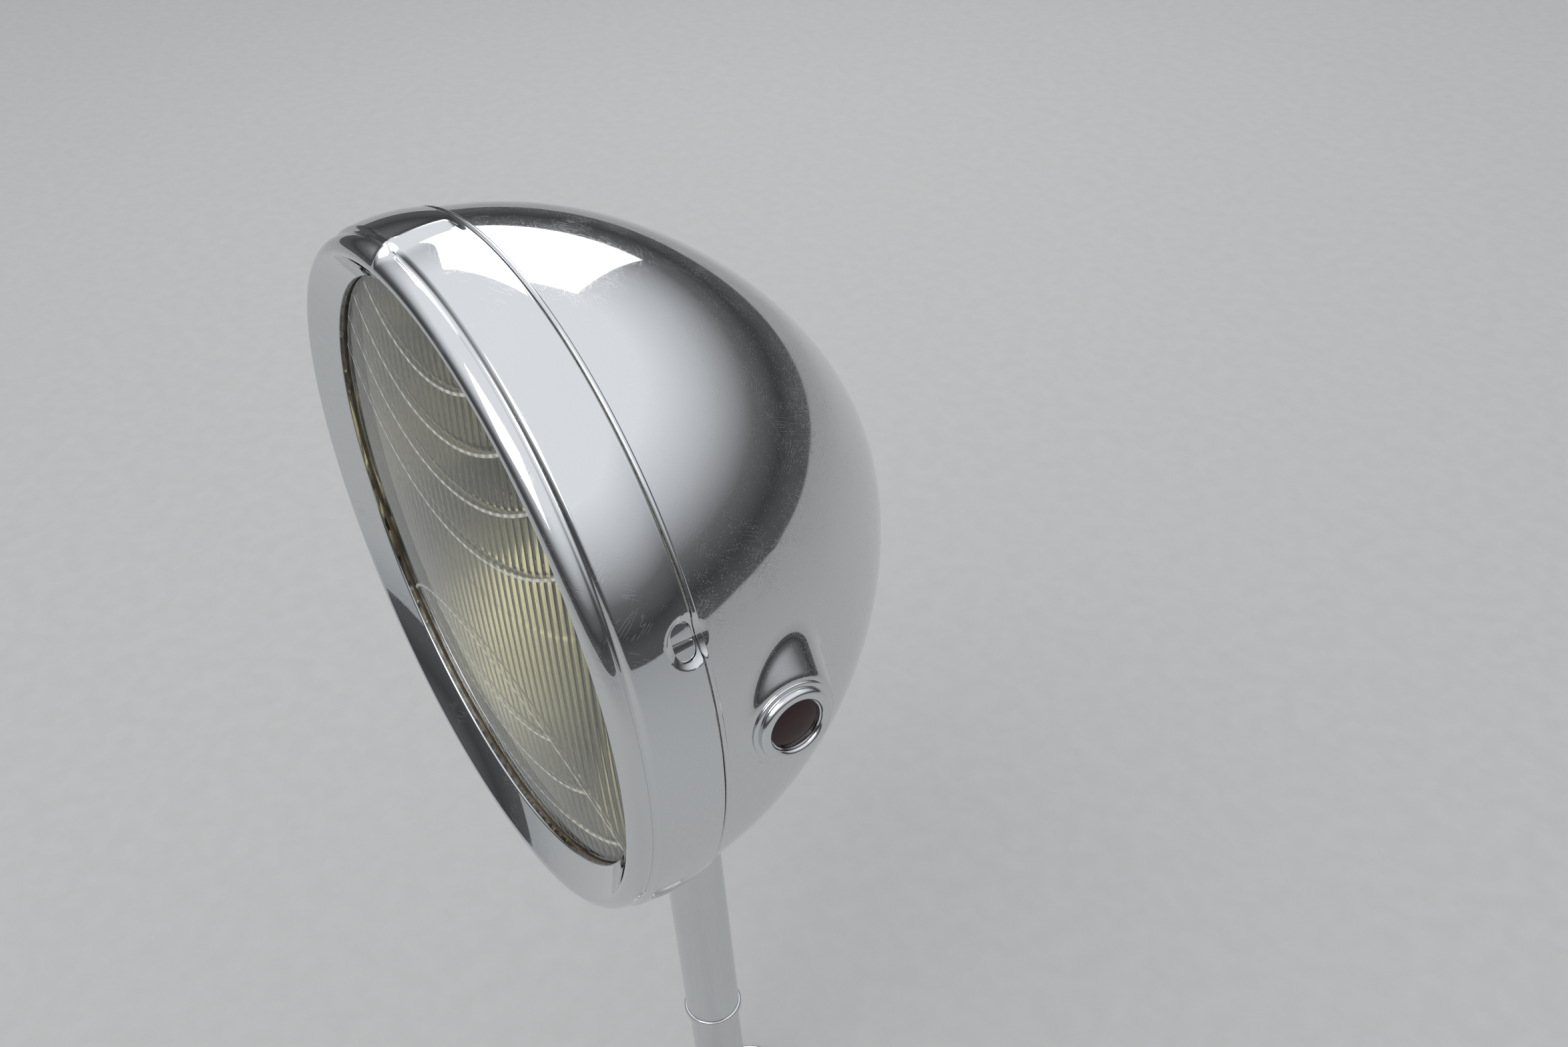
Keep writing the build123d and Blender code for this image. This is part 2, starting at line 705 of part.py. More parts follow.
# Socket for the bar between the two lamps, on the inner side, with its set screw
cup_face = -boss_reach - cup_length
dish_ball = (cup_dish_radius**2 + cup_dish_depth**2) / (2 * cup_dish_depth)
dish_x = cup_face + cup_dish_depth - dish_ball
bore_end = -boss_reach - bore_floor
spigot_end = spigot_length - boss_reach
screw_x = -boss_reach - tie_screw_head - seat_gap
with BuildPart() as tie_bar_socket:
    with BuildSketch(Plane.XY.offset(boss_z)):
        with BuildLine():
            half = (cup_dish_radius + tie_bar_radius) / 2
            dish_depth = dish_ball - math.sqrt(dish_ball**2 - tie_bar_radius**2)
            dish = ThreePointArc(
                (cup_face, boss_y + cup_dish_radius),
                (dish_x + math.sqrt(dish_ball**2 - half**2), boss_y + half),
                (cup_face + cup_dish_depth - dish_depth, boss_y + tie_bar_radius),
            )
            Polyline(
                dish @ 1,
                (bore_end, boss_y + tie_bar_radius),
                (bore_end, boss_y),
                (spigot_end, boss_y),
                (spigot_end, boss_y + spigot_radius),
                (-boss_reach, boss_y + spigot_radius),
                (-boss_reach, boss_y + cup_radius),
                (cup_face + cup_edge, boss_y + cup_radius),
                (cup_face, boss_y + cup_radius - cup_edge),
                dish @ 0,
            )
        make_face()
    revolve(axis=boss_axis)
    with BuildSketch(Plane.XY.offset(boss_z + tie_bar_radius / 2)):
        with Locations((screw_x, boss_y)):
            Circle(tie_screw_shank + tie_screw_clearance)
    extrude(amount=cup_radius, mode=Mode.SUBTRACT)
export(tie_bar_socket.part, "tie_bar_socket")

screw_seat = boss_z + cup_radius + tie_screw_clearance
with BuildPart() as tie_bar_screw:
    with BuildSketch(Plane.XY.offset(screw_seat)):
        with Locations((screw_x, boss_y)):
            Circle(tie_screw_head)
    extrude(amount=tie_screw_head_height)
    fillet(tie_bar_screw.edges().sort_by(Axis.Z)[-1], tie_screw_head_height - edge_round)
    with BuildSketch(Plane.XY.offset(boss_z + tie_bar_radius + seat_gap)):
        with Locations((screw_x, boss_y)):
            Circle(tie_screw_shank)
    extrude(amount=screw_seat - boss_z - tie_bar_radius - seat_gap)
export(tie_bar_screw.part, "tie_bar_screw")

# Hinge across from the lock: pin along the seam, a leaf on the bowl, one on the door
knuckle = hinge_length / 3
knuckle_side = pin_offset - hinge_knuckle_radius
plate_start = hinge_knuckle_radius + hinge_leaf_gap
bore_radius = hinge_pin_radius + pin_clearance
bowl_leaf_end = lamp_radius - hinge_leaf_drop + hinge_leaf_rise
door_leaf_top = lamp_radius + band_crown + hinge_leaf_rise
leaf_root = lamp_radius - hinge_leaf_root

with BuildPart() as hinge_bracket:
    with BuildSketch(hinge_plane.offset(-hinge_length / 2)):
        with BuildLine():
            Polyline(
                (leaf_root, plate_start),
                (pin_offset, plate_start),
                (bowl_leaf_end, hinge_leaf_length),
                (leaf_root, hinge_leaf_length),
                close=True,
            )
        make_face()
    extrude(amount=hinge_length)
    for start in (-hinge_length / 2, knuckle / 2 + hinge_knuckle_gap):
        with BuildSketch(hinge_plane.offset(start)):
            with Locations((pin_offset, 0)):
                Circle(hinge_knuckle_radius)
            with Locations((knuckle_side, 0)):
                Rectangle(
                    hinge_knuckle_radius, hinge_leaf_root, align=(Align.MIN, Align.MIN)
                )
        extrude(amount=knuckle - hinge_knuckle_gap)
    with BuildSketch(hinge_plane.offset(-hinge_length / 2)):
        with Locations((pin_offset, 0)):
            Circle(bore_radius)
    extrude(amount=hinge_length, mode=Mode.SUBTRACT)
    with BuildSketch(Plane.YZ):
        add(bowl_outline(-seat_gap, 0))
        make_face()
    revolve(axis=lamp_axis, mode=Mode.SUBTRACT)
export(hinge_bracket.part, "hinge_bracket")

with BuildPart() as hinge_leaf:
    with BuildSketch(hinge_plane.offset(-hinge_length / 2)):
        with Locations((leaf_root, -plate_start)):
            Rectangle(
                door_leaf_top - leaf_root,
                hinge_leaf_length - plate_start,
                align=(Align.MIN, Align.MAX),
            )
    extrude(amount=hinge_length)
    with BuildSketch(hinge_plane.offset(-knuckle / 2)):
        with Locations((pin_offset, 0)):
            Circle(hinge_knuckle_radius)
        with Locations((knuckle_side, 0)):
            Rectangle(hinge_knuckle_radius, hinge_leaf_root, align=(Align.MIN, Align.MAX))
    extrude(amount=knuckle)
    with BuildSketch(hinge_plane.offset(-hinge_length / 2)):
        with Locations((pin_offset, 0)):
            Circle(bore_radius)
    extrude(amount=hinge_length, mode=Mode.SUBTRACT)
    with BuildSketch(Plane.YZ):
        add(door_outline(seat_gap))
        make_face()
    revolve(axis=lamp_axis, mode=Mode.SUBTRACT)
export(hinge_leaf.part, "hinge_leaf")

with BuildPart() as hinge_pin:
    with BuildSketch(hinge_plane.offset(-hinge_length / 2 - seat_gap)):
        with Locations((pin_offset, 0)):
            Circle(hinge_pin_radius)
    extrude(amount=hinge_length + 2 * seat_gap)
    for start in (-hinge_length / 2 - seat_gap - pin_head, hinge_length / 2 + seat_gap):
        with BuildSketch(hinge_plane.offset(start)):
            with Locations((pin_offset, 0)):
                Circle(hinge_pin_radius + pin_head / 2)
        extrude(amount=pin_head)
export(hinge_pin.part, "hinge_pin")


def tube(name, outer, inner, bottom, top):
    """Upright tube about the post's axis between two heights."""
    with BuildPart() as piece:
        with BuildSketch(Plane.XY.offset(bottom)):
            Circle(outer)
            Circle(inner, mode=Mode.SUBTRACT)
        extrude(amount=top - bottom)
    export(piece.part, name)


# Post in two lengths with a ring between them, and a collar under the pedestal
ring_bottom = lamp_height - ring_drop - ring_height / 2
ring_top = ring_bottom + ring_height
post_bore = post_radius - post_wall
tube("post_upper", post_radius, post_bore, ring_top, floor_top + post_top)
lower_post_bore = lower_post_radius - lower_post_wall
tube("post_lower", lower_post_radius, lower_post_bore, foot_floor, ring_bottom)
tube("post_collar", collar_radius, post_radius + post_clearance, floor_z - collar_height, floor_z)

with BuildPart() as post_ring:
    with BuildSketch(Plane.XY.offset(ring_bottom)):
        Circle(ring_radius)
    extrude(amount=ring_height)
    fillet(post_ring.edges().filter_by(GeomType.CIRCLE), ring_round)
    with BuildSketch(Plane.XY.offset(ring_bottom)):
        Circle(post_bore)
    extrude(amount=ring_height, mode=Mode.SUBTRACT)
export(post_ring.part, "post_ring")

with BuildPart() as mount_nut:
    with BuildSketch(Plane.XY.offset(floor_z - nut_height)):
        with Locations((0, nut_back)):
            RegularPolygon(nut_radius, 6, major_radius=False)
    extrude(amount=nut_height)
    with BuildSketch(Plane.XY.offset(floor_z - nut_height - stud_end)):
        with Locations((0, nut_back)):
            Circle(stud_radius)
    extrude(amount=nut_height + floor_thickness + 2 * stud_end)
export(mount_nut.part, "mount_nut")

# Foot: oblong flange with a boss round the post and a countersunk hole at each end
with BuildPart() as foot:
    with BuildSketch():
        SlotOverall(foot_length, foot_width, rotation=90)
    extrude(amount=foot_thickness)
    fillet(foot.faces().sort_by(Axis.Z)[-1].edges(), foot_edge)
    with BuildSketch(Plane.XY.offset(foot_thickness - foot_edge)):
        Circle(foot_boss_radius)
    with BuildSketch(Plane.XY.offset(foot_boss_top)):
        Circle(foot_boss_top_radius)
    loft()
    with BuildSketch(Plane.XY.offset(foot_floor)):
        Circle(lower_post_radius + post_clearance)
    extrude(amount=foot_boss_top, mode=Mode.SUBTRACT)
    with Locations(Plane.XY.offset(foot_thickness)):
        with GridLocations(0, bolt_spacing, 1, 2):
            CounterSinkHole(bolt_hole_radius, bolt_sink_radius)
export(foot.part, "foot")
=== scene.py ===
"""Looks of a vintage car's headlamp on its post.

The lamp axis runs along Y, the glass faces -Y and the outer side is +X. The lamp's sizes
are in millimetres, and vectors, meshes and the studio are in metres. Along the lamp axis,
places are given forward of the parting line between the door and the bowl, and behind it
they are negative.
"""

import logging
import math
from dataclasses import dataclass, field
from enum import Enum
from functools import reduce
from typing import Callable, Iterable, Sequence

import bpy
from mathutils import Matrix, Vector


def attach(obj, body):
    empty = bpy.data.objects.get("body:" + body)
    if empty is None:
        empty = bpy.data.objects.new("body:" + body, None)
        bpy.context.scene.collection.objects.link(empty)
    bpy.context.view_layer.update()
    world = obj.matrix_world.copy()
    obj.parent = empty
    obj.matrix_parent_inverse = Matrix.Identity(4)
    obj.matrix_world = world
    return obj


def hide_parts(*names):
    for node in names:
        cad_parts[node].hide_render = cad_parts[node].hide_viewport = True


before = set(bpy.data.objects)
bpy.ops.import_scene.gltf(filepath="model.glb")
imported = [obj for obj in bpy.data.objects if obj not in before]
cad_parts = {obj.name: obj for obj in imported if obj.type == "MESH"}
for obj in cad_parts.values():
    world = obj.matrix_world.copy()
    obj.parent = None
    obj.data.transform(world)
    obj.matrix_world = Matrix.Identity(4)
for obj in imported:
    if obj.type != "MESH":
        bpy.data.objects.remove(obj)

log = logging.getLogger("headlamp")
MM = 0.001
FULL_TURN = 2 * math.pi
WELD = 0.004 * MM
Colour = tuple[float, float, float]
Pair = tuple[float, float]
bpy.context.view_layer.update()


# Shading


class Socket:
    """A value in a material's node tree that takes part in Python arithmetic."""

    def __init__(self, shader: "Shader", link: bpy.types.NodeSocket) -> None:
        """Keep the shader that the link belongs to."""
        self.shader = shader
        self.link = link

    def _math(self, operation: str, *values: "Socket | float") -> "Socket":
        """Add a Math node.

        Args:
            operation: The node's operation.
            values: Its inputs in order.

        Returns:
            The node's value.
        """
        inputs = dict(enumerate(values))
        return self.shader.node("ShaderNodeMath", {"operation": operation}, inputs)

    def __add__(self, other: "Socket | float") -> "Socket":
        """Sum."""
        return self._math("ADD", self, other)

    def __radd__(self, other: float) -> "Socket":
        """Sum, number first."""
        return self._math("ADD", other, self)

    def __sub__(self, other: "Socket | float") -> "Socket":
        """Difference."""
        return self._math("SUBTRACT", self, other)

    def __rsub__(self, other: float) -> "Socket":
        """Difference, number first."""
        return self._math("SUBTRACT", other, self)

    def __mul__(self, other: "Socket | float") -> "Socket":
        """Product."""
        return self._math("MULTIPLY", self, other)

    def __rmul__(self, other: float) -> "Socket":
        """Product, number first."""
        return self._math("MULTIPLY", other, self)

    def __pow__(self, other: "Socket | float") -> "Socket":
        """Power."""
        return self._math("POWER", self, other)

    def sine(self) -> "Socket":
        """Sine of an angle."""
        return self._math("SINE", self)

    def absolute(self) -> "Socket":
        """Size without sign."""
        return self._math("ABSOLUTE", self)

    def at_most(self, other: "Socket | float") -> "Socket":
        """Lesser of two values."""
        return self._math("MINIMUM", self, other)

    def at_least(self, other: "Socket | float") -> "Socket":
        """Greater of two values."""
        return self._math("MAXIMUM", self, other)

    def ramp(self, low: float, high: float) -> "Socket":
        """Smooth step from nought at low to one at high."""
        settings = {"interpolation_type": "SMOOTHSTEP"}
        inputs = {"Value": self, "From Min": low, "From Max": high}
        return self.shader.node("ShaderNodeMapRange", settings, inputs)


class Shader:
    """A material's node tree around one Principled shader."""

    def __init__(self, name: str) -> None:
        """Make the material with an empty tree but for its shader and output."""
        self.material = bpy.data.materials.new(name)
        self.material.use_nodes = True
        self.tree = self.material.node_tree
        self.tree.nodes.clear()
        self.surface = self.tree.nodes.new("ShaderNodeBsdfPrincipled")
        self.output = self.tree.nodes.new("ShaderNodeOutputMaterial")
        self.tree.links.new(self.surface.outputs["BSDF"], self.output.inputs["Surface"])

    def node(
        self,
        kind: str,
        settings: dict | None = None,
        inputs: dict | None = None,
        output: str | int = 0,
    ) -> Socket:
        """Add a node.

        Args:
            kind: Blender's name of the node type.
            settings: Properties of the node, set before its inputs.
            inputs: Values or sockets for its inputs, by name or place.
            output: Name or place of the output that is wanted.

        Returns:
            That output.
        """
        made = self.tree.nodes.new(kind)
        for key, value in (settings or {}).items():
            setattr(made, key, value)
        for key, value in (inputs or {}).items():
            if isinstance(value, Socket):
                self.tree.links.new(value.link, made.inputs[key])
            else:
                made.inputs[key].default_value = value
        return Socket(self, made.outputs[output])

    def place(
        self, scale: Sequence[float] = (1, 1, 1), turn: Sequence[float] = (0, 0, 0)
    ) -> Socket:
        """Object coordinates, turned and then stretched.

        Args:
            scale: Factors along X, Y and Z.
            turn: Rotation in radians.

        Returns:
            The coordinates.
        """
        source = self.node("ShaderNodeTexCoord", output="Object")
        turned = self.node(
            "ShaderNodeMapping", {"vector_type": "POINT"}, {"Vector": source, "Rotation": turn}
        )
        return self.node(
            "ShaderNodeMapping", {"vector_type": "POINT"}, {"Vector": turned, "Scale": scale}
        )

    def noise(self, where: Socket, scale: float, detail: float = 2.0, rough: float = 0.5) -> Socket:
        """Noise between nought and one."""
        inputs = {"Vector": where, "Scale": scale, "Detail": detail, "Roughness": rough}
        return self.node("ShaderNodeTexNoise", {}, inputs)

    def cells(self, where: Socket, scale: float) -> Socket:
        """Distance to the nearest of scattered points."""
        settings = {"feature": "F1"}
        inputs = {"Vector": where, "Scale": scale, "Randomness": 1.0}
        return self.node("ShaderNodeTexVoronoi", settings, inputs, "Distance")

    def blend(self, factor: Socket, first: Sequence[float], second: Sequence[float]) -> Socket:
        """Colour between two, by factor."""
        settings = {"data_type": "RGBA", "blend_type": "MIX"}
        inputs = {0: factor, 6: (*first, 1.0), 7: (*second, 1.0)}
        return self.node("ShaderNodeMix", settings, inputs, 2)

    def bump(self, height: Socket, distance: float) -> Socket:
        """Normal from a height, with its full depth in metres."""
        inputs = {"Height": height, "Distance": distance, "Strength": 1.0}
        return self.node("ShaderNodeBump", {}, inputs)

    def along(self, axis: str) -> Socket:
        """Object coordinate along one axis."""
        return self.node("ShaderNodeSeparateXYZ", {}, {"Vector": self.place()}, axis)

    def dress(self, **values: "Socket | float | tuple") -> bpy.types.Material:
        """Set the surface's inputs.

        Args:
            values: Value or socket by input name, with _ for a space.

        Returns:
            The material.
        """
        for key, value in values.items():
            port = self.surface.inputs[key.replace("_", " ")]
            if isinstance(value, Socket):
                self.tree.links.new(value.link, port)
            else:
                port.default_value = value
        return self.material

    def overlay(self, glint_mask: Socket, **values: "Socket | float | tuple") -> None:
        """Lay a second surface over the first where a mask is one, as for the pane's painted
        highlight.

        Args:
            glint_mask: Share of the second surface.
            values: Its inputs, as for dress.
        """
        first = self.surface
        self.surface = self.tree.nodes.new("ShaderNodeBsdfPrincipled")
        self.dress(**values)
        under, over = (Socket(self, shader.outputs[0]) for shader in (first, self.surface))
        mixed = self.node("ShaderNodeMixShader", {}, {0: glint_mask, 1: under, 2: over})
        self.tree.links.new(mixed.link, self.output.inputs["Surface"])


class Wear(Enum):
    """How much a chromed surface has been rubbed and pitted."""

    FRESH = 0.25
    RUBBED = 0.6
    PITTED = 1.0


@dataclass(frozen=True)
class Chrome:
    """Chromium plate with polishing scratches and pin-head pits.

    Depths are in millimetres. A run of scratches has the angles of its cloth, and a kind
    of pit has its cells to the metre, its share of a cell and its strength.
    """

    name: str
    wear: Wear = Wear.RUBBED
    tint: Colour = (0.71, 0.72, 0.735)
    stain: Colour = (0.56, 0.53, 0.46)
    worn_from: float = -0.06
    worn_to: float | None = None
    clear_roughness: float = 0.03
    patch_roughness: float = 0.05
    scratch_roughness: float = 0.18
    pit_roughness: float = 0.6
    most_roughness: float = 0.65
    scratch_depth: float = 0.009
    pit_depth: float = 0.02
    ripple_depth: float = 0.05
    patch_scale: float = 13.0
    ripple_scale: float = 9.0
    sweep_scale: float = 55.0
    scratch_scale: float = 620.0
    scratch_spread: float = 130.0
    runs: tuple[tuple[float, float, float], ...] = (
        (0.3, 0.2, 0.5), (1.1, 0.7, 2.0), (0.5, 1.6, 3.1), (2.2, 0.4, 1.3), (1.7, 2.1, 0.2),
    )
    pits: tuple[tuple[float, float, float], ...] = (
        (340.0, 0.08, 1.0), (760.0, 0.17, 1.0), (1500.0, 0.26, 0.9),
    )

    def make(self) -> bpy.types.Material:
        """Build the material.

        Returns:
            The material.
        """
        shader = Shader(self.name)
        amount = self.wear.value
        patches = shader.noise(shader.place(), self.patch_scale, 3.0).ramp(0.38, 0.66)
        if self.worn_to is not None:
            worn = shader.along("Y").ramp(self.worn_from, self.worn_to)
            patches = (patches * 0.5 + worn * 0.5).at_most(1.0)
        scratches = self._scratches(shader) * (0.35 + patches * 0.65)
        pits = self._pits(shader, patches)
        ripple = shader.noise(shader.place(), self.ripple_scale, 1.0)
        height = ripple * self.ripple_depth - scratches * self.scratch_depth
        height = height - pits * self.pit_depth
        rough = self.clear_roughness + patches * (self.patch_roughness * amount)
        rough = rough + scratches * (self.scratch_roughness * amount) + pits * self.pit_roughness
        stained = (pits * 0.1 + patches * (0.22 * amount)).at_most(1.0)
        return shader.dress(
            Base_Color=shader.blend(stained, self.tint, self.stain),
            Metallic=1.0,
            Roughness=rough.at_most(self.most_roughness),
            Normal=shader.bump(height, MM),
        )

    def _scratches(self, shader: Shader) -> Socket:
        """Hairline scratches that run several ways, in sweeps.

        Args:
            shader: The tree that they are made in.

        Returns:
            One in a scratch, nought between them.
        """
        scratches = []
        for index, turn in enumerate(self.runs):
            where = shader.place((1.0, 0.07, 0.14), turn)
            line = shader.noise(where, self.scratch_scale + self.scratch_spread * index, 1.0, 0.4)
            run = (line - 0.5).absolute().ramp(0.009, 0.003)
            scratches.append(run * self._sweep(shader, index))
        return reduce(Socket.at_least, scratches)

    def _sweep(self, shader: Shader, index: int) -> Socket:
        """Area over which one run of the polishing cloth left its scratches.

        Args:
            shader: The tree that it is made in.
            index: Which run, from nought.

        Returns:
            One inside the area, nought outside.
        """
        where = shader.place(turn=(0.9 * index, 0.4, 1.3 * index))
        area = shader.noise(where, self.sweep_scale, 2.0)
        return area.ramp(0.61 - 0.12 * self.wear.value, 0.70)

    def _pits(self, shader: Shader, patches: Socket) -> Socket:
        """Pits like pin pricks, gathered in patches.

        Args:
            shader: The tree that they are made in.
            patches: Where the plate is worn.

        Returns:
            How much of a pit there is at a place.
        """
        pits = []
        for scale, limit, strength in self.pits:
            near = shader.cells(shader.place(), scale)
            kept = shader.noise(shader.place(), scale * 0.13, 1.0)
            sparse = kept.ramp(0.52 - 0.16 * self.wear.value, 0.58) * patches.at_least(0.3)
            pits.append((1.0 - near.ramp(limit * 0.5, limit)) * sparse * strength)
        return reduce(Socket.at_least, pits) * self.wear.value


@dataclass(frozen=True)
class PlatedSteel:
    """Dull plated steel, brushed along the pieces' length."""

    name: str = "dull_plate"
    tint: Colour = (0.52, 0.52, 0.50)
    dark: Colour = (0.30, 0.28, 0.25)

    def make(self) -> bpy.types.Material:
        """Build the material.

        Returns:
            The material.
        """
        shader = Shader(self.name)
        grain = shader.noise(shader.place((1.0, 1.0, 0.08)), 700.0, 2.0)
        spots = shader.noise(shader.place(), 90.0, 3.0).ramp(0.5, 0.75)
        return shader.dress(
            Base_Color=shader.blend(spots, self.tint, self.dark),
            Metallic=1.0,
            Roughness=0.26 + grain * 0.16 + spots * 0.15,
            Normal=shader.bump(grain, 0.02 * MM),
        )


@dataclass(frozen=True)
class Silvering:
    """Silver film on the reflector, a little clouded with age."""

    name: str = "silver_film"
    tint: Colour = (0.90, 0.89, 0.80)
    tarnish: Colour = (0.62, 0.56, 0.38)

    def make(self) -> bpy.types.Material:
        """Build the material.

        Returns:
            The material.
        """
        shader = Shader(self.name)
        cloud = shader.noise(shader.place(), 22.0, 4.0, 0.6).ramp(0.45, 0.8)
        specks = shader.noise(shader.place(), 480.0, 2.0).ramp(0.64, 0.74)
        dull = (cloud * 0.5 + specks * 0.3).at_most(1.0)
        return shader.dress(
            Base_Color=shader.blend(dull, self.tint, self.tarnish),
            Metallic=1.0,
            Roughness=0.10 + cloud * 0.16,
            Normal=shader.bump(specks, 0.01 * MM),
        )


@dataclass(frozen=True)
class Glass:
    """Clear or tinted glass with a film of dust that gathers in patches."""

    name: str
    tint: Colour
    film: Colour
    dust: float = 0.05
    roughness: float = 0.02
    passes: float = 1.0

    def make(self) -> bpy.types.Material:
        """Build the material.

        Returns:
            The material.
        """
        return self.shade().material

    def shade(self) -> Shader:
        """Make the shader of plain glass with its dust.

        Returns:
            The shader, with its surface dressed.
        """
        shader = Shader(self.name)
        clouds = shader.noise(shader.place(), 35.0, 4.0, 0.65).ramp(0.4, 0.8)
        grit = shader.noise(shader.place(), 900.0, 2.0).ramp(0.66, 0.74)
        veil = (clouds * 0.7 + grit * 0.6).at_most(1.0)
        shader.dress(
            Base_Color=shader.blend(veil * self.dust, self.tint, self.film),
            Roughness=self.roughness + veil * (0.4 * self.dust),
            IOR=1.50,
            Transmission_Weight=self.passes,
            Normal=shader.bump(clouds, 0.01 * MM),
        )
        return shader


@dataclass(frozen=True)
class Pattern:
    """Flutes and curved ribs of the pane, from its centre and in millimetres."""

    flute_pitch: float = 6.3
    top: Pair = (-9.5, 204.0)
    upper: tuple[float, ...] = (108.0, 130.5, 153.0, 177.5)
    first_upper: float = 85.0
    last_upper: float = 400.0
    low: Pair = (3.0, 54.0)
    lower: tuple[float, ...] = (113.0, 136.0, 159.0)
    last_lower: float = 182.0
    arch: Pair = (0.0, -181.5)
    arch_radius: float = 150.0
    edge: float = 127.5


PATTERN = Pattern()


@dataclass(frozen=True)
class RibbedGlass(Glass):
    """Pressed glass with a painted highlight on its curved ribs, beaded flute after flute.

    The centre's height and the ribs' width are in metres.
    """

    centre: float = 0.0
    width: float = 0.0010
    painted_glint: Colour = (0.93, 0.92, 0.84)

    def make(self) -> bpy.types.Material:
        """Build the material.

        Returns:
            The material.
        """
        shader = self.shade()
        x, z = shader.along("X"), shader.along("Z") - self.centre
        # Painted highlight: a pale, rough coat over the ribs, beaded flute by flute, stands in for
        # glints of light on the pressed glass.
        glint_beads = 0.5 + (x * (FULL_TURN / (PATTERN.flute_pitch * MM))).sine() * 0.5
        sparkle = shader.noise(shader.place(), 420.0, 2.0).ramp(0.35, 0.65)
        glint_mask = self._ribs(x, z) * (0.45 + glint_beads * 0.55) * (0.7 + sparkle * 0.3)
        shader.overlay(glint_mask, Base_Color=(*self.painted_glint, 1), Roughness=0.25, IOR=1.5)
        return shader.material

    def _ribs(self, x: Socket, z: Socket) -> Socket:
        """Mask of the painted highlight: one on a rib and nought between, from a place across and
        up.

        Args:
            x: Distance across from the lamp's axis, in metres.
            z: Distance above it.

        Returns:
            Share of the rib.
        """
        above = self._nearest(self._reach(x, z, PATTERN.top), PATTERN.upper)
        below = self._nearest(self._reach(x, z, PATTERN.low), PATTERN.lower)
        arch, radius = self._reach(x, z, PATTERN.arch), PATTERN.arch_radius * MM
        under = arch.ramp(radius + 0.5 * MM, radius - 0.5 * MM)
        nearest = (above + under).at_most(below + (1.0 - under)).at_most((arch - radius).absolute())
        edge = PATTERN.edge * MM
        inside = self._reach(x, z, (0.0, 0.0)).ramp(edge, edge - 1.5 * MM)
        return nearest.ramp(self.width, self.width * 0.35) * inside

    @staticmethod
    def _reach(x: Socket, z: Socket, centre: Pair) -> Socket:
        """Distance, in metres, from a centre in millimetres."""
        return ((x - centre[0] * MM) ** 2.0 + (z - centre[1] * MM) ** 2.0) ** 0.5

    @staticmethod
    def _nearest(reach: Socket, radii: Sequence[float]) -> Socket:
        """Distance to the nearest of several circles, their radii in millimetres."""
        return reduce(Socket.at_most, [(reach - radius * MM).absolute() for radius in radii])


@dataclass(frozen=True)
class Gasket:
    """Rubber or cork with the bloom of age."""

    name: str = "aged_rubber"
    dark: Colour = (0.015, 0.015, 0.015)
    grey: Colour = (0.07, 0.068, 0.064)

    def make(self) -> bpy.types.Material:
        """Build the material.

        Returns:
            The material.
        """
        shader = Shader(self.name)
        bloom = shader.noise(shader.place(), 120.0, 4.0)
        return shader.dress(
            Base_Color=shader.blend(bloom.ramp(0.4, 0.8), self.dark, self.grey),
            Roughness=0.62 + bloom * 0.25,
            Normal=shader.bump(bloom, 0.06 * MM),
        )


@dataclass(frozen=True)
class Brass:
    """Drawn brass with brown tarnish."""

    name: str = "drawn_brass"
    bright: Colour = (0.78, 0.58, 0.26)
    brown: Colour = (0.34, 0.22, 0.10)

    def make(self) -> bpy.types.Material:
        """Build the material.

        Returns:
            The material.
        """
        shader = Shader(self.name)
        tarnish = shader.noise(shader.place(), 160.0, 3.0).ramp(0.45, 0.75)
        return shader.dress(
            Base_Color=shader.blend(tarnish, self.bright, self.brown),
            Metallic=1.0,
            Roughness=0.24 + tarnish * 0.2,
            Normal=shader.bump(tarnish, 0.02 * MM),
        )


# Modelling


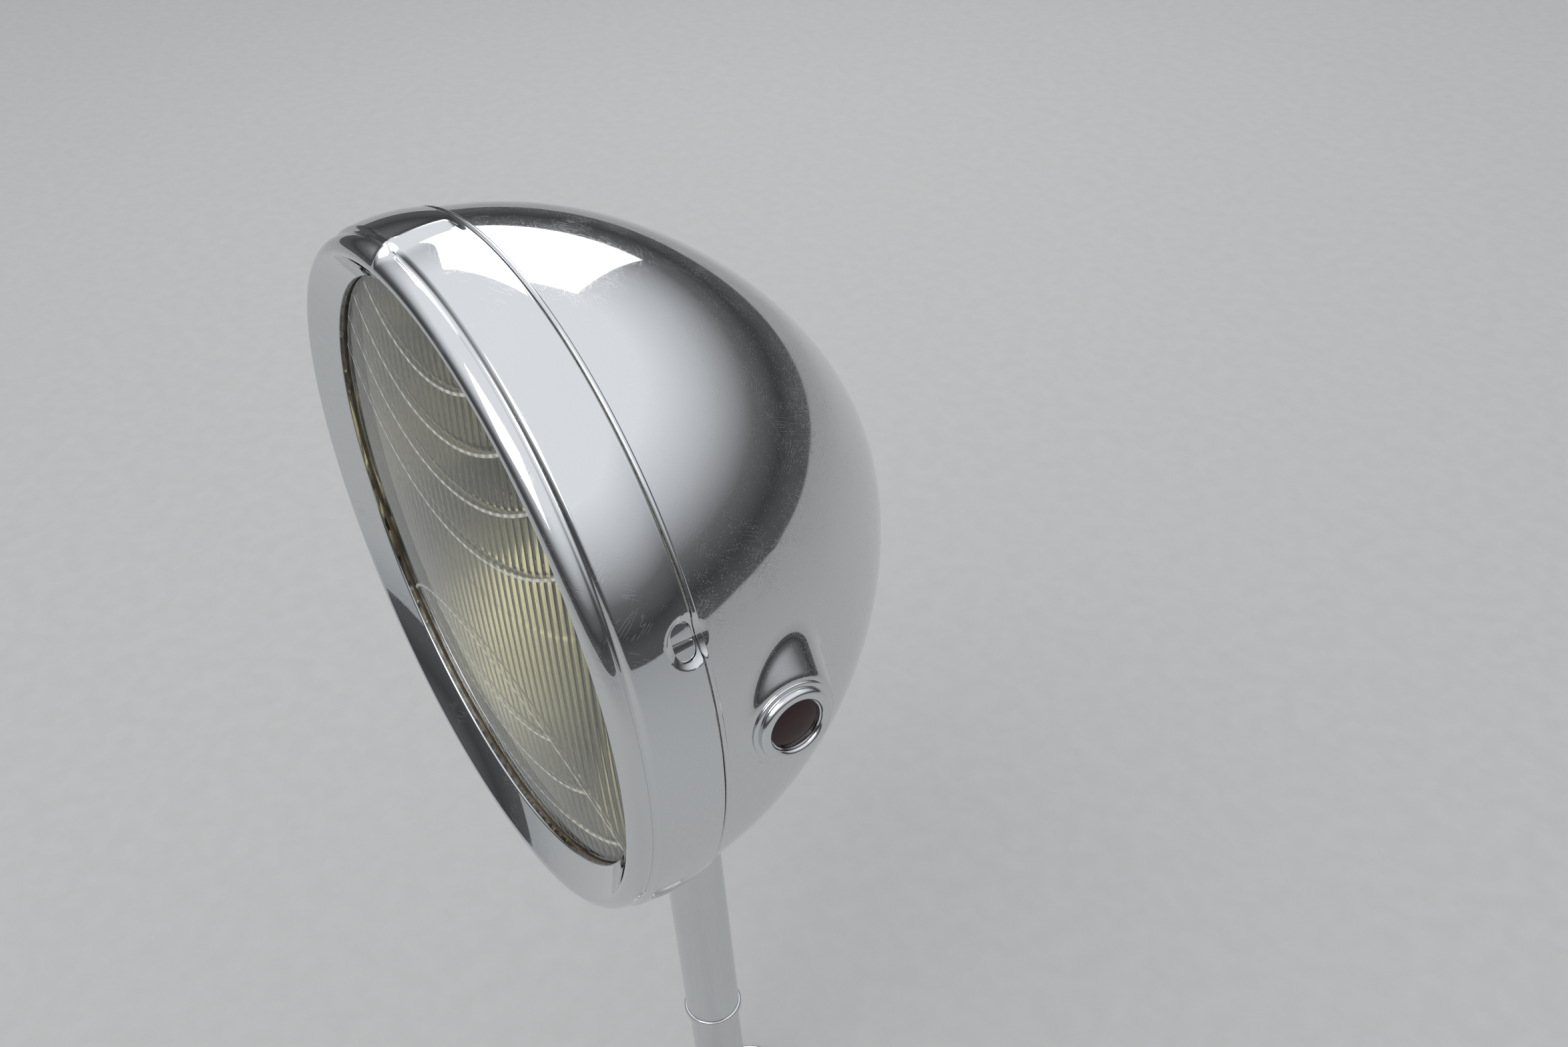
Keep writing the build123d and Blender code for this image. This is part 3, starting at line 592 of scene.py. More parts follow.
class Bench:
    """Mesh operators, one piece at a time."""

    @staticmethod
    def clear() -> None:
        """Deselect every object."""
        bpy.ops.object.select_all(action="DESELECT")

    @staticmethod
    def pick(piece: bpy.types.Object) -> None:
        """Select one piece alone and make it active."""
        Bench.clear()
        piece.select_set(True)
        bpy.context.view_layer.objects.active = piece

    @staticmethod
    def path(name: str, points: Sequence[Sequence[float]]) -> bpy.types.Object:
        """Draw a chain of edges.

        Args:
            name: The piece's name.
            points: Its corners in order.

        Returns:
            A piece whose mesh is the chain, left in edit mode.
        """
        Bench.clear()
        bpy.ops.mesh.primitive_plane_add(size=MM, location=points[0])
        piece = bpy.context.active_object
        piece.name = name
        piece.data.name = name
        bpy.ops.object.transform_apply(location=True, rotation=True, scale=True)
        bpy.ops.object.mode_set(mode="EDIT")
        bpy.ops.mesh.select_all(action="SELECT")
        bpy.ops.mesh.merge(type="CENTER")
        for near, far in zip(points, points[1:]):
            step = Vector(far) - Vector(near)
            bpy.ops.mesh.extrude_region_move(TRANSFORM_OT_translate={"value": step})
        return piece

    @staticmethod
    def lathe(
        name: str,
        points: Sequence[Sequence[float]],
        centre: Sequence[float],
        axis: Sequence[float],
        sectors: Iterable[tuple[float, int]] = ((FULL_TURN, 256),),
        smooth: float = 32.0,
    ) -> bpy.types.Object:
        """Spin a section about an axis.

        Args:
            name: The piece's name.
            points: The section's corners.
            centre: A point of the axis.
            axis: Its direction.
            sectors: Angles with their number of steps, which make a full turn.
            smooth: Angle in degrees up to which edges are shaded smooth.

        Returns:
            The finished piece.
        """
        piece = Bench.path(name, points)
        bpy.ops.mesh.select_all(action="SELECT")
        for angle, steps in sectors:
            bpy.ops.mesh.spin(steps=steps, angle=angle, center=centre, axis=axis)
        return Bench.close(piece, smooth)

    @staticmethod
    def close(piece: bpy.types.Object, smooth: float = 32.0) -> bpy.types.Object:
        """Merge doubles, turn the faces outwards and shade, leaving edit mode.

        Args:
            piece: The piece, in edit mode.
            smooth: Angle in degrees up to which edges are smooth.

        Returns:
            The piece.
        """
        bpy.ops.mesh.select_all(action="SELECT")
        bpy.ops.mesh.remove_doubles(threshold=WELD)
        bpy.ops.mesh.normals_make_consistent(inside=False)
        bpy.ops.object.mode_set(mode="OBJECT")
        return Bench.shade(piece, smooth)

    @staticmethod
    def shade(piece: bpy.types.Object, smooth: float) -> bpy.types.Object:
        """Shade edges smooth up to an angle in degrees."""
        Bench.pick(piece)
        bpy.ops.object.shade_smooth_by_angle(angle=math.radians(smooth))
        return piece

    @staticmethod
    def press(piece: bpy.types.Object, shape: Callable[[Vector], Vector]) -> bpy.types.Object:
        """Move each point of a piece by a rule, as a press tool would.

        Args:
            piece: The piece.
            shape: The rule, from a point to its new place.

        Returns:
            The piece.
        """
        for vertex in piece.data.vertices:
            vertex.co = shape(vertex.co)
        piece.data.update()
        return piece

    @staticmethod
    def modify(piece: bpy.types.Object, kind: str, **settings: object) -> bpy.types.Object:
        """Add a modifier and apply it.

        Args:
            piece: The piece.
            kind: Blender's name of the modifier's type.
            settings: Its properties.

        Returns:
            The piece.
        """
        Bench.pick(piece)
        modifier = piece.modifiers.new(kind.title(), kind)
        for key, value in settings.items():
            setattr(modifier, key, value)
        bpy.ops.object.modifier_apply(modifier=modifier.name)
        return piece

    @staticmethod
    def cut(piece: bpy.types.Object, cutter: bpy.types.Object) -> None:
        """Cut a piece with another, which is used up."""
        Bench.modify(piece, "BOOLEAN", operation="DIFFERENCE", object=cutter, solver="EXACT")
        bpy.data.objects.remove(cutter)

    @staticmethod
    def settle(piece: bpy.types.Object, place: Matrix) -> bpy.types.Object:
        """Move a piece into place and put the place into its mesh.

        Args:
            piece: The piece.
            place: Where it goes.

        Returns:
            The piece.
        """
        Bench.pick(piece)
        piece.matrix_world = place
        bpy.ops.object.transform_apply(location=True, rotation=True, scale=True)
        return piece

    @staticmethod
    def from_cad(node: str, name: str, bevel: float, smooth: float) -> bpy.types.Object:
        """Merged, smoothly shaded copy of a CAD node, with its sharp edges broken.

        Args:
            node: The CAD node.
            name: The copy's name.
            bevel: Width of the broken edges in metres.
            smooth: Angle in degrees up to which edges are shaded smooth.

        Returns:
            The copy, which stands for the node.
        """
        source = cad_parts[node]
        piece = bpy.data.objects.new(name, source.data.copy())
        bpy.context.scene.collection.objects.link(piece)
        Bench.pick(piece)
        bpy.ops.object.mode_set(mode="EDIT")
        bpy.ops.mesh.select_all(action="SELECT")
        bpy.ops.mesh.remove_doubles(threshold=WELD)
        bpy.ops.mesh.tris_convert_to_quads()
        bpy.ops.object.mode_set(mode="OBJECT")
        Bench.modify(
            piece, "BEVEL", width=bevel, segments=3, limit_method="ANGLE",
            angle_limit=math.radians(35), harden_normals=False,
        )
        return Bench.shade(piece, smooth)


def smooth_step(low: float, high: float, value: float) -> float:
    """Smooth rise from nought at low to one at high."""
    part = min(1.0, max(0.0, (value - low) / (high - low)))
    return part * part * (3 - 2 * part)


@dataclass
class Section:
    """Chain of points, each a distance along an axis and a radius, in millimetres."""

    points: list[Pair] = field(default_factory=list)
    heading: Pair = (1.0, 0.0)

    def line(self, *ends: Pair) -> "Section":
        """Go straight to each end in turn.

        Args:
            ends: The corners to pass.

        Returns:
            This section.
        """
        for end in ends:
            if self.points:
                run = end[0] - self.points[-1][0], end[1] - self.points[-1][1]
                size = math.hypot(*run) or 1.0
                self.heading = run[0] / size, run[1] / size
            self.points.append(end)
        return self

    def through(self, middle: Pair, end: Pair, count: int) -> "Section":
        """Go along the arc that passes a middle point.

        Args:
            middle: The point that it passes.
            end: Where it ends.
            count: Number of steps.

        Returns:
            This section.
        """
        start = self.points[-1]
        angle = self._turn(start, middle) + self._turn(start, end) - self._turn(middle, end)
        self.heading = math.cos(angle), math.sin(angle)
        return self.tangent(end, count)

    def tangent(self, end: Pair, count: int) -> "Section":
        """Go along the arc that leaves in the present heading.

        Args:
            end: Where it ends.
            count: Number of steps.

        Returns:
            This section.
        """
        start = self.points[-1]
        course = math.atan2(self.heading[1], self.heading[0])
        half = math.remainder(self._turn(start, end) - course, FULL_TURN)
        span = math.hypot(end[0] - start[0], end[1] - start[1])
        for step in range(1, count + 1):
            part = half * step / count
            reach = span * (math.sin(part) / math.sin(half) if abs(half) > 1e-6 else step / count)
            across, up = math.cos(course + part), math.sin(course + part)
            self.points.append((start[0] + reach * across, start[1] + reach * up))
        self.heading = math.cos(course + 2 * half), math.sin(course + 2 * half)
        return self

    def close(self) -> "Section":
        """Go back to the first point."""
        return self.line(self.points[0])

    @staticmethod
    def _turn(start: Pair, end: Pair) -> float:
        """Direction from one point to another."""
        return math.atan2(end[1] - start[1], end[0] - start[0])


@dataclass(frozen=True)
class Spindle:
    """Axis that pieces are turned about, in millimetres."""

    origin: tuple[float, float, float]
    along: tuple[float, float, float]
    out: tuple[float, float, float]

    def point(self, forward: float, radius: float) -> Vector:
        """Place in metres of a section's point."""
        place = Vector(self.origin) + Vector(self.along) * forward + Vector(self.out) * radius
        return place * MM

    def turn(
        self,
        name: str,
        section: Section,
        sectors: Iterable[tuple[float, int]] = ((FULL_TURN, 96),),
        smooth: float = 32.0,
    ) -> bpy.types.Object:
        """Turn a piece from its section.

        Args:
            name: The piece's name.
            section: Its half section.
            sectors: Angles with their number of steps, which make a full turn.
            smooth: Angle in degrees up to which edges are shaded smooth.

        Returns:
            The piece.
        """
        points = [self.point(*point) for point in section.points]
        centre = Vector(self.origin) * MM
        return Bench.lathe(name, points, centre, self.along, sectors, smooth)


def sectors_at(*bands: tuple[float, float, float], coarse: float = 1.5) -> list[tuple[float, int]]:
    """Steps of a full turn that are finer in bands, on both sides of the start.

    Args:
        bands: Start, end and step in degrees of each band, within half a turn.
        coarse: Step in degrees between the bands.

    Returns:
        Angles in radians with their number of steps.
    """
    half: list[Pair] = []
    place = 0.0
    for start, end, step in bands:
        if start > place:
            half.append((start - place, coarse))
        half.append((end - start, step))
        place = end
    if place < 180.0:
        half.append((180.0 - place, coarse))
    both = half + half[::-1]
    return [(math.radians(span), max(1, round(span / step))) for span, step in both]


@dataclass(frozen=True)
class Lamp:
    """Sizes that several pieces share, in millimetres."""

    radius: float = 148.0
    height: float = 444.0
    setback: float = 52.0
    wall: float = 1.8
    lock_angle: float = math.radians(70.5)
    lock_forward: float = 5.0
    dimple_forward: float = 1.2
    dimple_ball: float = 18.0
    dimple_depth: float = 3.0
    boss_y: float = -21.5
    boss_z: float = 442.0
    boss_face: float = 146.5

    def polar(self, place: Vector) -> tuple[float, float, float]:
        """Distance forward, radius and angle from the top of a place in metres."""
        x, y, z = place / MM
        return -y - self.setback, math.hypot(x, z - self.height), math.atan2(x, z - self.height)

    def lock_out(self) -> Vector:
        """Direction from the lamp's axis to the lock."""
        return Vector((math.sin(self.lock_angle), 0, math.cos(self.lock_angle)))

    def dimple_centre(self) -> Vector:
        """Centre, in metres, of the ball that the lock's dimple is pressed with."""
        reach = self.radius + self.dimple_ball - self.dimple_depth
        middle = Vector((0, -self.setback - self.dimple_forward, self.height))
        return (middle + self.lock_out() * reach) * MM

    def dimple(self, place: Vector, normal: Vector) -> Vector:
        """Place pressed clear of the lock's dimple, a wall further on the inside.

        Args:
            place: A point of the plain shell, in metres.
            normal: Direction that its face looks in.

        Returns:
            The point, outside the ball that presses the dimple.
        """
        centre = self.dimple_centre()
        offset = place - centre
        outside = normal.dot(offset) < 0
        ball = (self.dimple_ball + (0.0 if outside else self.wall)) * MM
        if offset.length < ball:
            return centre + offset.normalized() * ball
        return place


SIZES = Lamp()
LAMP = Spindle((0.0, -SIZES.setback, SIZES.height), (0, -1, 0), (0, 0, 1))
POST = Spindle((0.0, 0.0, 0.0), (0, 0, 1), (1, 0, 0))


def made(finish: Chrome | PlatedSteel | Silvering | Glass | Gasket | Brass) -> bpy.types.Material:
    """Field that holds a finish's material, built together with the finishes."""
    return field(default_factory=finish.make)


@dataclass
class Finishes:
    """Materials of the whole lamp, made once."""

    bowl: bpy.types.Material = made(Chrome("bowl_chrome", Wear.PITTED, worn_to=0.06))
    door: bpy.types.Material = made(Chrome("door_chrome", Wear.FRESH))
    trim: bpy.types.Material = made(Chrome("trim_chrome", Wear.FRESH))
    post: bpy.types.Material = made(Chrome("post_chrome", Wear.RUBBED))
    plate: bpy.types.Material = made(PlatedSteel())
    silver: bpy.types.Material = made(Silvering())
    brass: bpy.types.Material = made(Brass())
    rubber: bpy.types.Material = made(Gasket())
    cork: bpy.types.Material = made(Gasket("aged_cork", (0.13, 0.09, 0.055), (0.30, 0.23, 0.16)))
    # The pane's glass carries a painted highlight on its curved ribs.
    pane: bpy.types.Material = made(
        RibbedGlass(
            "pane_glass_and_painted_glint", (0.57, 0.555, 0.43), (0.52, 0.505, 0.39),
            dust=0.10, centre=SIZES.height * MM,
        )
    )
    globe: bpy.types.Material = made(
        Glass("globe_glass", (0.97, 0.98, 0.97), (0.5, 0.48, 0.42), dust=0.03)
    )
    ruby: bpy.types.Material = made(
        Glass(
            "ruby_glass", (0.030, 0.001, 0.002), (0.12, 0.04, 0.03),
            dust=0.08, roughness=0.04, passes=0.2,
        )
    )


@dataclass
class Assembly:
    """A group of pieces that ride on one body."""

    finishes: Finishes
    body: str = "lamp"

    def finish(
        self,
        piece: bpy.types.Object,
        material: bpy.types.Material,
        slot: str,
        nodes: Sequence[str] = (),
    ) -> bpy.types.Object:
        """Dress a piece, fasten it to its body and report it.

        Args:
            piece: The piece.
            material: Its material.
            slot: Not used.
            nodes: CAD nodes that it stands for.

        Returns:
            The piece.
        """
        self.paint(piece.data, material)
        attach(piece, self.body)
        if nodes:
            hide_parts(*nodes)
        log.info("%s: %d faces, on %s", piece.name, len(piece.data.polygons), self.body)
        return piece

    def carry(
        self,
        node: str,
        name: str,
        material: bpy.types.Material,
        slot: str,
        bevel: float,
        smooth: float = 30.0,
    ) -> None:
        """Finish a copy of a CAD node whose sharp edges are broken.

        Args:
            node: The CAD node.
            name: The copy's name.
            material: Its material.
            slot: Handed on to finish, which does not use it.
            bevel: Width of the broken edges in millimetres.
            smooth: Angle in degrees up to which edges are shaded smooth.
        """
        piece = Bench.from_cad(node, name, bevel * MM, smooth)
        self.finish(piece, material, slot, [node])

    @staticmethod
    def coat(node: str, material: bpy.types.Material) -> None:
        """Give a CAD node that stays its material."""
        Assembly.paint(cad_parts[node].data, material)
        log.info("%s keeps its solid", node)

    @staticmethod
    def paint(data: bpy.types.Mesh, material: bpy.types.Material) -> None:
        """Make a material the only one of a mesh.

        Args:
            data: The mesh.
            material: The material.
        """
        data.materials.clear()
        data.materials.append(material)
        for polygon in data.polygons:
            polygon.material_index = 0


@dataclass
class Door(Assembly):
    """Hinged front: rim, glass and what holds the glass."""

    body: str = "door"
    band: float = 26.5
    crown: float = 1.2
    groove: float = 3.4
    groove_depth: float = 2.0
    crest: Pair = (37.6, 140.6)
    opening: Pair = (28.2, 128.8)
    seat: Pair = (8.9, 15.3)
    spine_back: float = 2.0
    spine_height: float = 3.1
    spine_spread: float = 4.6
    spine_point: float = 1.1
    spine_lean: float = math.radians(-2.4)
    spine_reach: float = 24.0
    pane_radius: float = 136.0
    pane_face: float = 25.6
    pane_back: float = 20.6
    pane_edge: float = 0.6
    dome_radius: float = 127.0
    dome_rise: float = 8.0
    dome_rings: tuple[float, ...] = (130, 127, 118, 106, 94, 82, 70, 58, 46, 34, 22, 11, 3)
    grid_radius: float = 130.2
    grid_cells: tuple[int, int] = (248, 330)
    flute_depth: float = 0.8
    step_height: float = 0.35
    step_run: float = 24.0
    rib_height: float = 0.55
    rib_width: float = 0.9

    def build(self) -> None:
        """Build every piece of the door."""
        self.rim()
        self.pane()
        self.carry("lock_screw", "lock_button", self.finishes.trim, "chrome", 0.35)
        self.carry("hinge_leaf", "door_hinge_leaf", self.finishes.trim, "chrome", 0.35)
        self.coat("lens_gasket", self.finishes.cork)
        self.coat("lens_ring", self.finishes.plate)
        self.coat("lens_clips", self.finishes.plate)

    def rim_section(self) -> Section:
        """Section of the rim: band, groove, bead, inner cone and the hollow behind.

        Returns:
            The section.
        """
        radius = SIZES.radius
        bead = self.band + self.groove
        floor = radius - self.groove_depth
        section = Section().line((0.0, radius - 0.9))
        section.through((0.25, radius - 0.2), (0.9, radius), 4)
        section.through((self.band / 2, radius + self.crown), (self.band, radius), 38)
        section.through((self.band + 0.8, radius - 0.7), (self.band + 1.5, radius - 1.6), 4)
        section.through((self.band + 2.3, floor - 0.1), (bead, floor + 0.2), 5)
        section.through((bead + 4.9, floor - 1.2), (self.crest[0] - 0.5, self.crest[1] + 1.3), 14)
        section.tangent((self.crest[0] - 1.1, self.crest[1] - 1.5), 8)
        lip, bore = self.opening
        section.line((lip + 0.9, bore + 0.5)).through((lip + 0.3, bore - 0.1), (lip - 0.6, bore), 4)
        back = lip - SIZES.wall
        section.line((back, bore + 0.1), (back, bore + 1.8), (33.6, 138.0), (bead, 141.8))
        inner = radius - SIZES.wall
        section.line(*[(self.band - 1.8 - step * 2.5, inner) for step in range(10)], (0.0, inner))
        return section.close()

    def rim(self) -> bpy.types.Object:
        """Turn the rim, then press its spine and the lock's dimple.

        Returns:
            The rim.
        """
        sectors = sectors_at((0, 9, 0.3), (64, 77, 0.18), coarse=1.2)
        rim = LAMP.turn("door_rim", self.rim_section(), sectors)
        self.press_spine(rim)
        normals = [vertex.normal.copy() for vertex in rim.data.vertices]
        for vertex, normal in zip(rim.data.vertices, normals):
            vertex.co = SIZES.dimple(vertex.co.copy(), normal)
        rim.data.update()
        self.cut_seat(rim)
        return self.finish(rim, self.finishes.door, "chrome", ["door"])

    def cut_seat(self, rim: bpy.types.Object) -> None:
        """Cut the oval seat that the lock's button sits in.

        Args:
            rim: The door's rim.
        """
        width, length = self.seat
        Bench.clear()
        bpy.ops.mesh.primitive_cylinder_add(vertices=48, radius=width / 2 * MM, depth=12 * MM)
        cutter = bpy.context.active_object
        half = (length - width) / 2 * MM
        Bench.press(cutter, lambda point: point + Vector((math.copysign(half, point.x), 0, 0)))
        out, forward = SIZES.lock_out(), Vector(LAMP.along)
        turn = Matrix((forward.cross(out), forward, out)).transposed().to_4x4()
        turn.translation = LAMP.point(SIZES.lock_forward, 0) + out * (SIZES.radius - 1.0) * MM
        Bench.settle(cutter, turn)
        Bench.cut(rim, cutter)
        Bench.shade(rim, 32.0)

    def spine_at(self, forward: float, across: float) -> float:
        """Height of the spine.

        Args:
            forward: Distance in front of the parting line.
            across: Distance from the spine's middle.

        Returns:
            Rise over the plain rim.
        """
        crest = self.crest[0]
        taper = 1.0 - smooth_step(self.band, crest + 0.6, forward)
        rise = self.spine_height * smooth_step(self.spine_back, self.spine_back + 5.5, forward)
        rise += self.groove_depth * math.exp(-(((forward - self.band - 2.0) / 1.9) ** 2))
        rise *= 1.0 - smooth_step(self.band + 4.0, crest + 0.3, forward)
        across /= self.spine_point + (self.spine_spread - self.spine_point) * taper
        broad, narrow = math.exp(-((across * 0.8) ** 2)), math.exp(-((across * 1.6) ** 2))
        return rise * (0.35 * broad + 0.65 * narrow)

    def press_spine(self, rim: bpy.types.Object) -> None:
        """Raise the spine over the top of the rim, down to its point at the crest.

        Args:
            rim: The door's rim.
        """
        normals = [vertex.normal.copy() for vertex in rim.data.vertices]
        for vertex, normal in zip(rim.data.vertices, normals):
            forward, radius, angle = SIZES.polar(vertex.co)
            across = radius * (angle - self.spine_lean)
            upward = normal.z * math.cos(angle) + normal.x * math.sin(angle)
            if abs(across) < self.spine_reach and upward > 0.1 and radius > self.crest[1] - 0.2:
                rise = self.spine_at(forward, across)
                vertex.co = vertex.co + Vector((0, normal.y, normal.z)) * rise * MM
        rim.data.update()

    def arc_field(self, x: float, z: float) -> Pair:
        """Place between the pane's arcs.

        Args:
            x: Distance to the side of the pane's centre.
            z: Distance above it.

        Returns:
            Part of the way through the present band, from nought at its upper arc
            to one at its lower, and the distance to the nearest arc.
        """
        top = math.dist((x, z), PATTERN.top)
        arch = math.dist((x, z), PATTERN.arch) - PATTERN.arch_radius
        lines = [abs(top - radius) for radius in PATTERN.upper] + [abs(arch)]
        value, edges = top, [PATTERN.first_upper, *PATTERN.upper, PATTERN.last_upper]
        if arch < 0:
            low = math.dist((x, z), PATTERN.low)
            lines += [abs(low - radius) for radius in PATTERN.lower]
            value, edges = low, [0.0, *PATTERN.lower, PATTERN.last_lower]
        for near, far in zip(edges, edges[1:]):
            if near <= value < far:
                return (value - near) / min(far - near, self.step_run), min(lines)
        return 0.0, min(lines)

    def pane_height(self, x: float, z: float) -> float:
        """Depth of the pane's patterned back, towards the bulb.

        Args:
            x: Distance to the side of the pane's centre.
            z: Distance above it.

        Returns:
            The depth, with flutes, steps and ribs.
        """
        phase = (x / PATTERN.flute_pitch) % 1.0 * 2 - 1
        part, near = self.arc_field(x, z)
        step = self.step_height * part if part <= 1.0 else 0.0
        rib = self.rib_height * math.exp(-((near / self.rib_width) ** 2))
        return self.flute_depth * phase * phase + step + rib

    def pane(self) -> bpy.types.Object:
        """Model the domed pane, with upright flutes and curved ribs on its back.

        Returns:
            The pane.
        """
        centre = LAMP.point(self.pane_back, 0)
        size = 2 * self.grid_radius * MM
        Bench.clear()
        columns, rows = self.grid_cells
        bpy.ops.mesh.primitive_grid_add(
            x_subdivisions=columns, y_subdivisions=rows, size=size,
            location=centre, rotation=(math.radians(90), 0, 0),
        )
        pane = bpy.context.active_object
        pane.name = pane.data.name = "front_glass"
        bpy.ops.object.transform_apply(location=True, rotation=True, scale=True)
        Bench.pick(pane)
        limit = self.grid_radius * MM
        reaches = [math.hypot(vertex.co.x, vertex.co.z - centre.z) for vertex in pane.data.vertices]
        bpy.ops.object.mode_set(mode="EDIT")
        bpy.ops.mesh.select_all(action="DESELECT")
        bpy.ops.object.mode_set(mode="OBJECT")
        for face in pane.data.polygons:
            face.select = all(reaches[index] > limit for index in face.vertices)
        bpy.ops.object.mode_set(mode="EDIT")
        bpy.ops.mesh.delete(type="FACE")
        bpy.ops.object.mode_set(mode="OBJECT")
        edge = self.grid_radius
        for vertex in pane.data.vertices:
            x, z = vertex.co.x / MM, (vertex.co.z - centre.z) / MM
            reach = math.hypot(x, z)
            if reach >= edge:
                vertex.co.x *= edge / reach
                vertex.co.z = centre.z + z * edge / reach * MM
            elif reach < edge - 1.0:
                fade = 1.0 - smooth_step(edge - 4, edge - 1, reach)
                vertex.co.y += (self.pane_height(x, z) - self.flute_depth) * fade * MM
        bpy.ops.object.mode_set(mode="EDIT")
        bpy.ops.mesh.select_all(action="SELECT")
        bpy.ops.mesh.region_to_loop()
        self.pane_front(centre)
        Bench.close(pane, 40.0)
        return self.finish(pane, self.finishes.pane, "lens_glass", ["lens"])

    def pane_front(self, centre: Vector) -> None:
        """Carry the pane's outline round its edge and over the domed front.

        Args:
            centre: Centre of the pane's back, in metres.
        """
        rim, edge, rise = self.pane_radius, self.pane_edge, self.dome_rise
        ball = (self.dome_radius**2 + rise**2) / (2 * rise)
        rings = [(self.pane_back, rim - edge), (self.pane_back + edge, rim)]
        rings += [(self.pane_face - edge, rim), (self.pane_face, rim - edge)]
        for radius in self.dome_rings:
            inside = min(radius, self.dome_radius)
            lift = math.sqrt(ball**2 - inside**2) - ball + rise
            rings.append((self.pane_face + lift, float(radius)))
        forward, radius = self.pane_back, self.grid_radius
        for next_forward, next_radius in rings:
            step = (0, -(next_forward - forward) * MM, 0)
            bpy.ops.mesh.extrude_region_move(TRANSFORM_OT_translate={"value": step})
            factor = next_radius / radius
            bpy.ops.transform.resize(value=(factor, 1, factor), center_override=centre)
            forward, radius = next_forward, next_radius
        bpy.ops.mesh.merge(type="CENTER")


@dataclass
class Bowl(Assembly):
    """Shell behind the door, with its pedestal and the pieces fixed to it."""

    depth: float = 150.7
    nose: tuple[Pair, ...] = ((0.9738, 0.2052), (0.8890, 0.4104), (0.4977, 0.8256))
    rim_radius: float = 146.2
    lip_radius: float = 136.0
    bead: float = 1.35
    boss_radius: float = 18.5
    boss_spread: float = 0.77
    boss_lean: Pair = (-0.40, 0.57)
    boss_valley: float = 2.2
    boss_reach: float = 60.0
    boss_inner: float = 90.0
    skirt_x: float = 25.0
    skirt_y: float = 31.0
    skirt_centre: float = 8.0
    skirt_bottom: float = 262.0
    skirt_ceiling: float = 271.0
    skirt_crown: float = 330.0
    roll_height: float = 5.6
    flare: float = 19.0
    flare_drop: float = 16.0
    flare_steps: int = 14
    wall_steps: int = 4
    cup_length: float = 12.98
    cup_bore: float = 6.1
    set_screw_at: float = 4.9
    mirror_focus: float = 36.0
    mirror_apex: float = -120.0
    mirror_span: Pair = (14.0, 131.0)
    mirror_wall: float = 1.6
    globe_centre: float = -84.0
    globe_radius: float = 18.0

    def build(self) -> None:
        """Build the shell and what is fixed to it."""
        self.shell()
        self.pedestal()
        self.tell_tale()
        self.bar_cup()
        self.inside()
        self.carry("hinge_bracket", "bowl_hinge_bracket", self.finishes.trim, "chrome", 0.35)
        self.carry("hinge_pin", "hinge_pin_round", self.finishes.plate, "plated_steel", 0.3)

    def outline(self, inset: float, front: float, count: int) -> Section:
        """Section of the bowl from its nose to the rim.

        Args:
            inset: How far inside the outer surface.
            front: Distance behind the parting line where it ends.
            count: Steps in each of its longer arcs.

        Returns:
            The section.
        """
        depth, radius = self.depth - inset, self.rim_radius - inset
        first, second, third = ((-depth * back, radius * out) for back, out in self.nose)
        section = Section().line((-depth, 0.0)).through(first, second, count // 2)
        return section.tangent(third, count).tangent((-front, radius), 3 * count)

    def radius_at(self, forward: float) -> float:
        """Outer radius of the bowl at a distance in front of the parting line.

        Args:
            forward: The distance, which is negative behind the line.

        Returns:
            The radius.
        """
        points = self.outline(0, 0.5, 40).points
        for (near, low), (far, high) in zip(points, points[1:]):
            if near <= forward <= far:
                return low + (high - low) * (forward - near) / (far - near)
        return self.rim_radius

    def shell(self) -> bpy.types.Object:
        """Turn the shell with its rim bead and press the side bosses and the lock's notch.

        Returns:
            The shell.
        """
        radius, lip = self.rim_radius, self.lip_radius
        bore = radius - SIZES.wall
        outer = self.outline(0, 2.8, 32)
        outer.through((-1.7, radius + self.bead), (-0.6, radius + 0.4), 8)
        outer.line((-0.6, bore), (-3.0, bore), (-3.0, lip), (-6.0, lip), (-6.0, bore - 0.2))
        outer.line(*self.outline(SIZES.wall, 3.0, 10).points[-3::-1])
        sectors = sectors_at((65, 76, 0.22), (76, 102, 0.35), coarse=1.5)
        shell = LAMP.turn("bowl_shell", outer, sectors)
        normals = [vertex.normal.copy() for vertex in shell.data.vertices]
        for vertex, normal in zip(shell.data.vertices, normals):
            place = vertex.co.copy()
            if normal.dot(place - LAMP.point(-60, 0)) > 0:
                place = self.boss(place)
            vertex.co = SIZES.dimple(place, normal)
        shell.data.update()
        return self.finish(shell, self.finishes.bowl, "chrome", ["bowl"])

    def boss(self, place: Vector) -> Vector:
        """Place on the outer surface, raised where a side boss stands out of it.

        Args:
            place: A point of the plain shell, in metres.

        Returns:
            The point on the leaning cone of the boss, where that lies further out.
        """
        x, y, z = place / MM
        across, up = y - SIZES.boss_y, z - SIZES.boss_z
        beyond = across**2 + up**2 - self.boss_radius**2
        if abs(x) < self.boss_inner or math.hypot(across, up) > self.boss_reach:
            return place
        ahead, rise = self.boss_lean
        slope = across * ahead + up * rise + self.boss_radius * self.boss_spread
        square = ahead**2 + rise**2 - self.boss_spread**2
        depth = beyond / (slope + math.sqrt(max(0.01, slope**2 - square * beyond)))
        cone = SIZES.boss_face - self.soft_most(depth, 0.0, 1.0)
        return Vector((math.copysign(self.soft_most(abs(x), cone, self.boss_valley), x), y, z)) * MM

    @staticmethod
    def soft_most(first: float, second: float, blend: float) -> float:
        """Greater of two lengths, with the corner between them rounded."""
        part = max(0.0, blend - abs(first - second)) / blend
        return max(first, second) + part * part * blend / 4

